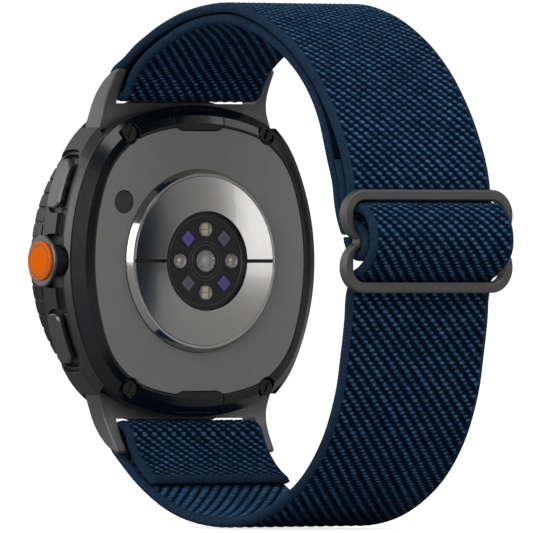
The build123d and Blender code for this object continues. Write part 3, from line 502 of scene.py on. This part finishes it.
def woven(slot, dark, bright, edge):
    """Cloth whose yarns are in the mesh: colour per yarn, and fibres along each yarn. On top, the weft crowns carry a
    painted highlight with painted glints, and the troughs between yarns a painted shade.
    """
    n = Nodes(slot)
    thread = n.add("Attribute", attribute_name="thread").outputs["Fac"]
    relief = n.add("Attribute", attribute_name="relief").outputs["Fac"]
    plain = n.add("Attribute", attribute_name="plain").outputs["Fac"]
    fleck = n.add("Attribute", attribute_name="fleck").outputs["Fac"]
    strand = n.add("Attribute", attribute_name="strand").outputs["Vector"]
    across = n.noise(n.vector("MULTIPLY", strand, (2.2, 22.0, 1.0)), 1.0, 4.0)
    along = n.noise(n.vector("MULTIPLY", strand, (22.0, 2.2, 1.0)), 1.0, 4.0)
    fibre = n.add("Mix", {0: thread, 2: along, 3: across}).outputs[0]
    yarn = n.noise(n.vector("MULTIPLY", strand, (0.12, 1.5625, 1.0)), 1.0, 2.0)
    patch = n.noise(n.vector("MULTIPLY", strand, (0.11, 0.11, 1.0)), 1.0, 2.0)
    # painted highlight: the weft floats lighter towards their crowns, varied by fibre, yarn and float
    lit = n.math("MULTIPLY", thread, n.span(fibre, 0.25, 0.75, 0.6, 1.05))
    lit = n.math("MULTIPLY", lit, n.span(yarn, 0.3, 0.7, 0.8, 1.1))
    lit = n.math("MULTIPLY", lit, n.span(fleck, 0.0, 1.0, 0.40, 0.90), clamp=True)
    # painted glints on the weft crowns
    painted_glint = n.noise(n.vector("MULTIPLY", strand, (3.1, 4.4, 1.0)), 1.0, 2.0)
    painted_glint = n.math("MULTIPLY", n.span(painted_glint, 0.52, 0.62), n.span(thread, 0.35, 0.85))
    lit = n.math("ADD", lit, n.math("MULTIPLY", painted_glint, 0.80), clamp=True)
    # painted shade: darker down in the troughs between yarns, lighter on the crowns
    painted_trough_shade = n.math("MULTIPLY", relief, relief)
    base = n.mix(lit, n.mix(painted_trough_shade, scaled(dark, 0.35), scaled(dark, 1.5)), bright)
    nap = n.noise(n.vector("MULTIPLY", strand, (5.0, 4.0, 1.0)), 1.0, 3.0)
    bound = n.mix(n.span(nap, 0.36, 0.64), scaled(edge, 0.62), scaled(edge, 1.30))
    base = n.mix(n.math("MULTIPLY", plain, n.span(fibre, 0.2, 0.8, 0.75, 1.0)), base, bound)
    base = n.mix(n.span(patch, 0.3, 0.75, 0.0, 0.18), base, scaled(dark, 0.8))
    n.set(Base_Color=base, Roughness=n.span(fibre, 0.2, 0.8, 0.62, 0.85),
          Normal=n.bump(fibre, 0.5, 0.00003), Sheen_Weight=0.02, Sheen_Roughness=0.5,
          Sheen_Tint=(0.3, 0.6, 1.0, 1.0), Specular_IOR_Level=0.05,
          Specular_Tint=(0.5, 0.75, 1.0, 1.0))
    materials[slot] = n.material


woven("band_weave", linear(5, 21, 44), linear(80, 132, 176), linear(36, 56, 76))


def thread():
    """Twisted sewing thread."""
    n = Nodes("stitch_thread")
    twist = n.add("TexWave", {"Vector": n.place(), "Scale": 900.0, "Distortion": 1.5,
                              "Detail": 2.0}, bands_direction="DIAGONAL").outputs["Fac"]
    n.set(Base_Color=n.mix(twist, linear(12, 22, 38), linear(34, 58, 88)),
          Roughness=n.span(twist, 0.0, 1.0, 0.6, 0.8), Normal=n.bump(twist, 0.5, 0.00003))
    materials["stitch_thread"] = n.material


thread()

for part in frame["record"]["subparts"]:
    node_object = frame["nodes"].get(part.get("node") or part.get("name"))
    slot_name = part.get("slot") or part.get("material_slot")
    for place in node_object.material_slots:
        place.material = materials[slot_name]

# ================= band =================

ROW, COLUMN = 0.60, 0.567  # one pick and one warp end
EDGE_R = BAND_T / 2
WIDER = 0.028  # the cloth spreads where nothing holds its sides
HELD, SPREAD = 11.0, 8.0  # how far the arms hold the sides, and the length it then spreads over
SELVEDGE = 0.12  # the plain strip beside each bound edge
WOVEN_COLUMNS, PLAIN_COLUMNS, EDGE_COLUMNS = 150, 20, 9


class Route:
    """A smooth line through points, with places and directions at even steps."""

    def __init__(self, points, step):
        p = np.array(points, float)
        t = np.concatenate([[0], np.cumsum(np.linalg.norm(np.diff(p, axis=0), axis=1))])
        count, gap = len(t), np.diff(t)
        grid, right = np.eye(count), np.zeros((count, 2))
        for i in range(1, count - 1):
            grid[i, i - 1:i + 2] = gap[i - 1], 2 * (gap[i - 1] + gap[i]), gap[i]
            right[i] = 6 * ((p[i + 1] - p[i]) / gap[i] - (p[i] - p[i - 1]) / gap[i - 1])
        bend = np.linalg.solve(grid, right)
        dense = np.linspace(0, t[-1], 60 * count)
        i = np.clip(np.searchsorted(t, dense, side="right") - 1, 0, count - 2)
        a, b, h = (t[i + 1] - dense)[:, None], (dense - t[i])[:, None], gap[i][:, None]
        line = (bend[i] * a ** 3 + bend[i + 1] * b ** 3) / (6 * h)
        line += (p[i] / h - bend[i] * h / 6) * a + (p[i + 1] / h - bend[i + 1] * h / 6) * b
        run = np.concatenate([[0], np.cumsum(np.linalg.norm(np.diff(line, axis=0), axis=1))])
        self.length = run[-1]
        self.at = np.linspace(0, self.length, max(8, int(round(self.length / step))))
        self.points = np.stack([np.interp(self.at, run, line[:, k]) for k in (0, 1)], axis=1)
        way = np.gradient(line, axis=0)
        way = np.stack([np.interp(self.at, run, way[:, k]) for k in (0, 1)], axis=1)
        self.way = way / np.linalg.norm(way, axis=1)[:, None]
        self.side = np.stack([self.way[:, 1], -self.way[:, 0]], axis=1)  # right-hand side

    def shifted(self, distance):
        return self.points + self.side * distance


def chance(a, b):
    """A steady pseudo-random number from 0 to 1 for a pair of whole numbers."""
    value = np.sin(a * 12.9898 + b * 78.233) * 43758.5453
    return value - np.floor(value)


def front_weave(x, s, lean):
    """(height, brightness, chance) of the cloth's face: one weft float in three, in a twill. The brightness is a
    painted highlight, strongest on each weft float's crown.
    """
    height = np.zeros(np.broadcast(x, s).shape)
    bright = np.zeros_like(height)
    fleck = np.full_like(height, 0.5)
    column = np.round(x / COLUMN)
    for step in (-1, 0, 1):
        c = column + step
        turn = s / ROW + lean * c
        luck = chance(c, np.floor(turn / 3))
        other = chance(np.floor(turn / 3), c + 7)
        dx = x - c * COLUMN + 0.12 * (luck - 0.5)
        q = np.mod(turn, 3)
        tilt = 0.12 * dx / COLUMN * lean
        swell = 0.90 + 0.20 * other
        weft = 1 - (dx / (0.52 * swell)) ** 2 - ((q - 0.5 + tilt) * ROW / (0.29 * swell)) ** 2
        weft = np.sqrt(np.clip(weft, 0, 1))
        warp = np.zeros_like(weft)
        for wrap in (-1, 2):
            warp = np.maximum(warp, 1 - (dx / 0.30) ** 2 - ((q - wrap) * ROW / 0.70) ** 2)
        warp = 0.5 * np.sqrt(np.clip(warp, 0, 1))
        better = (weft > height) & (weft > warp)
        height = np.maximum(height, np.maximum(weft, warp))
        bright = np.where(better, weft ** 2.2, bright)
        fleck = np.where(better, luck, fleck)
    return height, bright, fleck


def back_weave(x, s, lean):
    """(height, brightness, chance) of the cloth's back: weft over two ends, in slanting ribs. The brightness is a
    painted highlight, strongest on each weft float's crown.
    """
    height = np.zeros(np.broadcast(x, s).shape)
    bright = np.zeros_like(height)
    fleck = np.full_like(height, 0.5)
    column = np.round(x / COLUMN)
    for step in (-2, -1, 0, 1, 2):
        c = column + step
        turn = s / ROW + lean * c
        luck = chance(c, np.floor(turn / 3))
        q = np.mod(turn, 3)
        dx = x - (c + 1.5) * COLUMN + 0.10 * (luck - 0.5)
        weft = 1 - (dx / 0.70) ** 2 - ((q - 0.5) * ROW / 0.25) ** 2
        weft = np.sqrt(np.clip(weft, 0, 1))
        dx = x - c * COLUMN
        warp = 1 - (dx / 0.28) ** 2 - ((q - 0.5) * ROW / 0.40) ** 2
        warp = 0.5 * np.sqrt(np.clip(warp, 0, 1))
        better = (weft > height) & (weft > warp)
        height = np.maximum(height, np.maximum(weft, warp))
        bright = np.where(better, 0.95 * weft ** 1.3, bright)
        fleck = np.where(better, luck, fleck)
    return height, bright, fleck


LIFT = 0.20  # how far the yarns stand over the cloth's ground
GROUND = -0.12


def strap(name, points, outer=("front", 1), inner=(None, 1), step=0.16, hem=(0.0, 0.0),
          narrow=(True, False)):
    """A closed strip of webbing: points are its outer face, and its thickness lies to their right.

    outer and inner say which weave each face shows and which way it leans, hem is the length of
    plain cloth at each end, and narrow says which ends sit between a connector's arms.
    """
    route = Route(points, step)
    half = BAND_W / 2 - EDGE_R
    s = route.at

    def columns(kind):
        """Places across the flat of one face."""
        return np.linspace(-half, half, WOVEN_COLUMNS if kind else PLAIN_COLUMNS)

    turn = np.linspace(0, math.pi, EDGE_COLUMNS)[1:-1]
    outer_x, inner_x = columns(outer[0]), columns(inner[0])
    x_all = np.concatenate([outer_x, half + EDGE_R * np.sin(turn), inner_x[::-1],
                            -half - EDGE_R * np.sin(turn)])
    off = np.concatenate([np.full(len(outer_x), EDGE_R), EDGE_R * np.cos(turn),
                          np.full(len(inner_x), -EDGE_R), -EDGE_R * np.cos(turn)])
    n_out, n_edge, n_in = len(outer_x), len(turn), len(inner_x)
    n_left = n_out + n_edge + n_in  # where the left edge starts
    rows, cols = len(s), len(x_all)
    lift = np.zeros((rows, cols))
    bright = np.zeros((rows, cols))
    relief = np.zeros((rows, cols))
    plain = np.zeros((rows, cols))
    fleck = np.full((rows, cols), 0.5)
    spans = {"outer": (slice(0, n_out), outer_x, outer, 1.0),
             "inner": (slice(n_out + n_edge, n_left), inner_x[::-1], inner, -1.0)}
    hem_mask = np.zeros(rows)
    for width, gone in ((hem[0], s), (hem[1], s[-1] - s)):
        if width:
            hem_mask = np.maximum(hem_mask, np.clip((width - gone) / 0.15 + 0.5, 0, 1))
    for span, x, (kind, lean), sign in spans.values():
        grid_x, grid_s = np.broadcast_arrays(x[None, :], s[:, None])
        if kind:
            weave = front_weave if kind == "front" else back_weave
            h, b, f = weave(grid_x, grid_s, lean)
            fleck[:, span] = f
            selvedge = np.clip((np.abs(grid_x) - (half - SELVEDGE)) / SELVEDGE, 0, 1)
            selvedge = np.maximum(selvedge, hem_mask[:, None])
            raised = GROUND + LIFT * h
            lift[:, span] = sign * (raised * (1 - selvedge) + 0.02 * selvedge)
            bright[:, span] = b * (1 - selvedge)
            relief[:, span] = h
            plain[:, span] = selvedge
        else:
            lift[:, span] = -sign * 0.04
            relief[:, span] = 0.5
            plain[:, span] = 0.3
    ribs = 0.018 * np.cos(2 * math.pi * s / ROW)
    for start, sign in ((n_out, 1.0), (n_left, -1.0)):
        part = slice(start, start + n_edge)
        plain[:, part] = 1.0
        relief[:, part] = 0.8
        x_shift = np.sin(turn) * sign
        lift[:, part] = 0
        x_part = x_all[part][None, :] + ribs[:, None] * x_shift[None, :]
        if start == n_out:
            right_x = x_part
        else:
            left_x = x_part
    x_grid = np.broadcast_to(x_all, (rows, cols)).copy()
    x_grid[:, n_out:n_out + n_edge] = right_x
    x_grid[:, n_left:] = left_x
    left = np.minimum(s, s[-1] - s)
    thin = np.sqrt(np.clip(1 - (1 - np.clip(left / EDGE_R, 0, 1)) ** 2, 0.02, 1))
    height = (off[None, :] + lift) * thin[:, None]
    middle = route.points + route.side * EDGE_R
    room = np.full(rows, 20.0)  # distance from an end that sits between a connector's arms
    if narrow[0]:
        room = np.minimum(room, s)
    if narrow[1]:
        room = np.minimum(room, s[-1] - s)
    ease = np.clip((room - HELD) / SPREAD, 0, 1)
    x_grid *= (1 + WIDER * ease * ease * (3 - 2 * ease))[:, None]
    co = np.empty((rows, cols, 3))
    co[..., 0] = x_grid
    co[..., 1] = middle[:, 0][:, None] - route.side[:, 0][:, None] * height + BACK_Y
    co[..., 2] = middle[:, 1][:, None] - route.side[:, 1][:, None] * height
    index = np.arange(rows * cols).reshape(rows, cols)
    a, b = index[:-1], index[1:]
    quads = np.stack([a, np.roll(a, -1, 1), np.roll(b, -1, 1), b], axis=-1).reshape(-1, 4)
    faces = quads.tolist() + [index[0][::-1].tolist(), index[-1].tolist()]
    mesh = bpy.data.meshes.new(name)
    mesh.from_pydata((co.reshape(-1, 3) * MM).tolist(), [], faces)
    # thread is also the painted highlight on the weft crowns, and relief sets the painted shade in the troughs
    for label, values in (("thread", bright), ("relief", relief), ("plain", plain),
                          ("fleck", fleck)):
        layer = mesh.attributes.new(label, "FLOAT", "POINT")
        layer.data.foreach_set("value", values.astype(np.float32).ravel())
    layer = mesh.attributes.new("strand", "FLOAT_VECTOR", "POINT")
    strand = np.zeros((rows, cols, 3), np.float32)
    strand[..., 0], strand[..., 1] = x_grid, s[:, None]
    layer.data.foreach_set("vector", strand.ravel())
    mesh.polygons.foreach_set("use_smooth", [True] * len(mesh.polygons))
    work = bmesh.new()
    work.from_mesh(mesh)
    bmesh.ops.recalc_face_normals(work, faces=work.faces)
    work.to_mesh(mesh)
    work.free()
    mesh.materials.append(materials["band_weave"])
    piece = bpy.data.objects.new(name, mesh)
    bpy.context.scene.collection.objects.link(piece)
    return piece, route


OUTER_FACE = [
    (-0.62, 24.6), (-1.25, 23.35), (-2.35, 22.6), (-3.75, 22.45), (-5.1, 23.1), (-5.95, 24.6),
    (-5.75, 26.3), (-4.9, 27.35), (-3.4, 28.15), (-1.3, 29.25), (0.6, 30.35), (3.0, 31.5),
    (5.4, 32.6), (8.4, 33.7), (12.2, 34.8), (15.1, 35.35), (19.0, 35.8), (22.9, 35.85),
    (27.9, 34.9), (31.5, 33.7), (35.0, 32.05), (37.9, 30.35), (40.9, 28.1), (42.8, 26.4),
    (45.7, 23.1), (48.1, 19.7), (50.0, 16.2), (51.25, 13.0), (51.9, 10.8),
]
INNER_FACE_START = [(-2.02, 24.75), (-0.95, 26.4), (1.0, 28.2), (4.7, 30.35), (10.1, 32.5)]
INNER_FACE_END = [(45.7, 19.2), (47.3, 14.6), (48.68, 10.6), (49.12, 8.0), (49.9, 5.6), (50.75, 4.0)]
FOLD_FACE = [
    (48.98, 14.2), (50.2, 10.6), (50.65, 8.3), (51.4, 6.75), (52.8, 5.6), (54.35, 4.7),
    (55.3, 3.7), (55.55, 2.6), (55.2, 1.25), (54.2, 0.25), (52.9, -0.02), (51.6, 0.42),
    (50.5, 1.55), (49.75, 2.95),
]
SLIDE_FACE = [
    (52.0, 10.35), (52.04, 9.2), (52.14, 8.5), (52.55, 8.1), (53.4, 7.95), (54.4, 7.75),
    (55.6, 7.0), (56.6, 5.8), (57.2, 4.4), (57.4, 2.9), (57.2, 1.4), (56.45, 0.1),
    (55.4, -0.98), (54.2, -1.8), (53.15, -2.33), (52.5, -2.65), (52.14, -3.2), (52.0, -3.95),
    (51.95, -4.7),
]
LOWER_FACE = [
    (51.75, -5.1), (51.55, -7.0), (51.15, -10.0), (50.4, -13.9), (49.7, -17.2), (48.5, -20.6),
    (46.9, -23.9), (44.5, -27.3), (41.2, -30.6), (38.8, -32.3), (35.7, -34.0), (30.8, -35.85),
    (24.0, -36.95), (17.0, -36.8), (10.8, -35.7), (6.1, -34.0), (2.75, -32.3), (-0.1, -30.6),
    (-2.5, -29.0), (-4.6, -27.45), (-5.75, -26.2), (-5.95, -24.6), (-5.1, -23.1),
    (-3.75, -22.45), (-2.35, -22.6), (-1.25, -23.35), (-0.62, -24.6),
]
LOWER_FOLD_FACE = [(4.9, -31.68), (2.3, -30.2), (0.25, -28.35), (-1.35, -26.2), (-2.05, -24.55)]


def under(points, distance):
    """Points on the wrist side of a face, as the CAD places them."""
    return Route(points, 1.0).shifted(distance).tolist()


def place(y, z):
    """A point in the frame, in metres, from a distance from the back plate and a height."""
    return (0.0, (BACK_Y + y) * MM, z * MM)


top_arc = under([p for p in OUTER_FACE if p[0] > 14 and p[1] > 20], BAND_T + 0.12)
inner_points = INNER_FACE_START + [tuple(p) for p in top_arc[4:-3:4]] + INNER_FACE_END

outer_points = OUTER_FACE[:-2] + [(51.45, 12.6), (51.88, 10.8), (52.04, 9.3)]
outer_points += SLIDE_FACE[2:-2] + [(52.05, -3.6)]
outer, outer_route = strap("band_outer", outer_points, step=0.18)
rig.blend(outer, "watch", "slider", start=place(38.0, 30.0), end=place(51.5, 12.0))
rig.replaces(outer, "band_outer_layer", "band_slide_loop")
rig.slot(outer, "band_weave")
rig.sheet(outer, flat=(BAND_W * MM, outer_route.length * MM), held="stretched",
         rests_on=["upper_band_pin", "slide_adjuster"])

inner, inner_route = strap("band_inner", inner_points, outer=(None, 1), inner=("front", -1))
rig.blend(inner, "watch", "slider", start=place(38.0, 30.0), end=place(50.0, 12.0))
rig.replaces(inner, "band_inner_layer")
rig.slot(inner, "band_weave")
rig.sheet(inner, flat=(BAND_W * MM, inner_route.length * MM), held="stretched",
         rests_on=["upper_band_pin"])

fold, fold_route = strap("band_fold", FOLD_FACE, narrow=(False, False))
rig.ride(fold, "slider")
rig.replaces(fold, "band_end_fold")
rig.slot(fold, "band_weave")
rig.sheet(fold, flat=(BAND_W * MM, fold_route.length * MM), held="folded",
         rests_on=["slide_adjuster"])

lower_points = [(52.02, -3.72), (51.9, -4.5)] + LOWER_FACE
lower, lower_route = strap("band_lower", lower_points, inner=("back", 1), step=0.18,
                           narrow=(False, True))
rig.blend(lower, "watch", "slider", start=place(44.0, -27.5), end=place(51.7, -5.5))
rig.replaces(lower, "band_lower_run")
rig.slot(lower, "band_weave")
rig.sheet(lower, flat=(BAND_W * MM, lower_route.length * MM), held="stretched",
         rests_on=["lower_band_pin"])

tail, tail_route = strap("band_tail", LOWER_FOLD_FACE, outer=(None, 1), inner=("front", -1),
                         hem=(0.9, 0.0))
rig.ride(tail, "watch")
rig.replaces(tail, "band_lower_fold")
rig.slot(tail, "band_weave")
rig.sheet(tail, flat=(BAND_W * MM, tail_route.length * MM), held="folded",
         rests_on=["band_lower"])

# ================= small parts of the sensor =================


def from_faces(name, verts, faces, slot, body):
    """A closed mesh in millimetres, as (x, depth, z), that rides on a body."""
    mesh = bpy.data.meshes.new(name)
    mesh.from_pydata([(x * MM, (BACK_Y - depth) * MM, z * MM) for x, depth, z in verts], [], faces)
    work = bmesh.new()
    work.from_mesh(mesh)
    bmesh.ops.recalc_face_normals(work, faces=work.faces)
    work.to_mesh(mesh)
    work.free()
    mesh.materials.append(materials[slot])
    piece = bpy.data.objects.new(name, mesh)
    bpy.context.scene.collection.objects.link(piece)
    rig.ride(piece, body)
    return piece


FLUTE_BELOW = -1.0  # depths count into the watch: only what stands 1 mm out of its back is fluted


def turned(verts, faces, profile, centre, steps=64, flute=0.0, flutes=0, closed=False):
    """Add a turned shape: profile is (radius, depth), from the axis back to the axis or closed."""
    base = len(verts)
    count = len(profile)
    for i in range(steps):
        angle = 2 * math.pi * i / steps
        for radius, depth in profile:
            wave = flute * radius * math.cos(flutes * angle) if depth < FLUTE_BELOW else 0.0
            verts.append((centre[0] + radius * math.cos(angle), depth + wave,
                          centre[1] + radius * math.sin(angle)))
    for i in range(steps):
        j = (i + 1) % steps
        for k in range(count if closed else count - 1):
            m = (k + 1) % count
            faces.append((base + i * count + k, base + i * count + m,
                          base + j * count + m, base + j * count + k))
    if not closed:
        faces.append(tuple(base + i * count for i in range(steps)))
        faces.append(tuple(base + i * count + count - 1 for i in range(steps)))


def slab(verts, faces, centre, size, top, bottom, chamfer=0.05, spin=0.0):
    """Add a small chip with chamfered edges, lying flat under the lens."""
    base = len(verts)
    wide, high = size[0] / 2, size[1] / 2
    for depth, cut in ((bottom, 0.0), (top + chamfer, 0.0), (top, chamfer)):
        for sx, sz in ((-1, -1), (1, -1), (1, 1), (-1, 1)):
            x, z = sx * (wide - cut), sz * (high - cut)
            verts.append((centre[0] + x * math.cos(spin) - z * math.sin(spin), depth,
                          centre[1] + x * math.sin(spin) + z * math.cos(spin)))
    for ring in (0, 4):
        for k in range(4):
            m = (k + 1) % 4
            faces.append((base + ring + k, base + ring + m, base + ring + 4 + m, base + ring + 4 + k))
    faces.append(tuple(base + k for k in range(4)))
    faces.append(tuple(base + 8 + k for k in range(4)))


CUP = [(0.02, -0.45), (1.0, -0.45), (1.0, -1.48), (0.94, -1.48), (0.74, -1.16), (0.02, -1.16)]
verts, faces = [], []
for centre in ((0, RING), (0, -RING), (RING, 0), (-RING, 0)):
    turned(verts, faces, CUP, centre)
cups = from_faces("lamp_cups", verts, faces, "led_silver", "watch")
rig.replaces(cups, "led_windows")
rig.slot(cups, "led_silver")

verts, faces = [], []
for z in (RING, -RING):
    for dz in (-0.44, 0.44):
        slab(verts, faces, (0.14, z + dz), (1.12, 0.78), -1.42, -1.16)
for x in (RING, -RING):
    turned(verts, faces, [(0.01, -1.17), (0.34, -1.17), (0.32, -1.28), (0.24, -1.37), (0.12, -1.42),
                          (0.01, -1.43)], (x + 0.1, 0.1), steps=32)
    slab(verts, faces, (x + 0.25, -0.45), (0.62, 0.40), -1.30, -1.16)
dies = from_faces("lamp_dies", verts, faces, "led_window", "watch")
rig.slot(dies, "led_window")

REFLECTOR = [(0.02, -0.45), (1.5, -0.45), (1.5, -1.46), (1.42, -1.46), (1.3, -1.30), (0.45, -1.24),
             (0.38, -1.38), (0.02, -1.40)]
verts, faces = [], []
turned(verts, faces, REFLECTOR, (0, 0), steps=192, flute=0.045, flutes=16)
reflector = from_faces("lamp_reflector", verts, faces, "led_silver", "watch")
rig.replaces(reflector, "centre_led")
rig.slot(reflector, "led_silver")

verts, faces = [], []
for radius, half_wide in ((2.25, 0.06), (2.72, 0.05), (6.3, 0.06)):
    turned(verts, faces, [(radius - half_wide, -1.19), (radius - half_wide, -1.25),
                          (radius + half_wide, -1.25), (radius + half_wide, -1.19)], (0, 0),
           steps=128, closed=True)
rings = from_faces("lens_rings", verts, faces, "slider_metal", "watch")
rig.slot(rings, "slider_metal")

# sixty marks on the bezel's sloping insert, longer at every fifth
verts, faces = [], []
for k in range(60):
    angle = math.pi * k / 30
    inner_r, wide = (19.35, 0.16) if k % 5 == 0 else (20.05, 0.07)
    across = (math.cos(angle), -math.sin(angle))
    along = (math.sin(angle), math.cos(angle))
    base = len(verts)
    for raise_by in (-0.03, 0.03):
        for radius, side in ((inner_r, -1), (20.75, -1), (20.75, 1), (inner_r, 1)):
            depth = 10.24 + (radius - 19.0) * 0.164 + raise_by
            verts.append((along[0] * radius + across[0] * wide * side, depth,
                          along[1] * radius + across[1] * wide * side))
    faces += [(base, base + 1, base + 2, base + 3), (base + 4, base + 5, base + 6, base + 7)]
    faces += [(base + m, base + (m + 1) % 4, base + 4 + (m + 1) % 4, base + 4 + m) for m in range(4)]
marks = from_faces("bezel_marks", verts, faces, "ring_grey", "bezel")
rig.slot(marks, "ring_grey")

# ================= stage =================

low, high = cad_bounds
floor_mesh = bpy.data.meshes.new("floor")
work = bmesh.new()
bmesh.ops.create_grid(work, x_segments=2, y_segments=2, size=1.2)
work.to_mesh(floor_mesh)
work.free()
floor = bpy.data.objects.new("floor", floor_mesh)
floor.location = (0.0, 0.0, low[2] - 0.0003)
bpy.context.scene.collection.objects.link(floor)
paper = Nodes("paper")
paper_grain = paper.noise(paper.place(), 60.0, 2.0)
seen = paper.add("LightPath").outputs["Is Camera Ray"]
shade = paper.mix(paper_grain, (0.90, 0.90, 0.90), (0.93, 0.93, 0.93))
paper.set(Base_Color=paper.mix(seen, (0.40, 0.40, 0.40), shade),
          Roughness=paper.span(paper_grain, 0.2, 0.8, 0.85, 0.95),
          Emission_Color=(1.0, 1.0, 1.0, 1.0),
          Emission_Strength=paper.math("MULTIPLY", seen, 0.78))
floor_mesh.materials.append(paper.material)
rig.stage(floor)

visual_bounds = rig.bounds()
with open("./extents.json", "w") as sizes:
    json.dump([[list(map(float, corner)) for corner in box] for box in (cad_bounds, visual_bounds)],
              sizes)
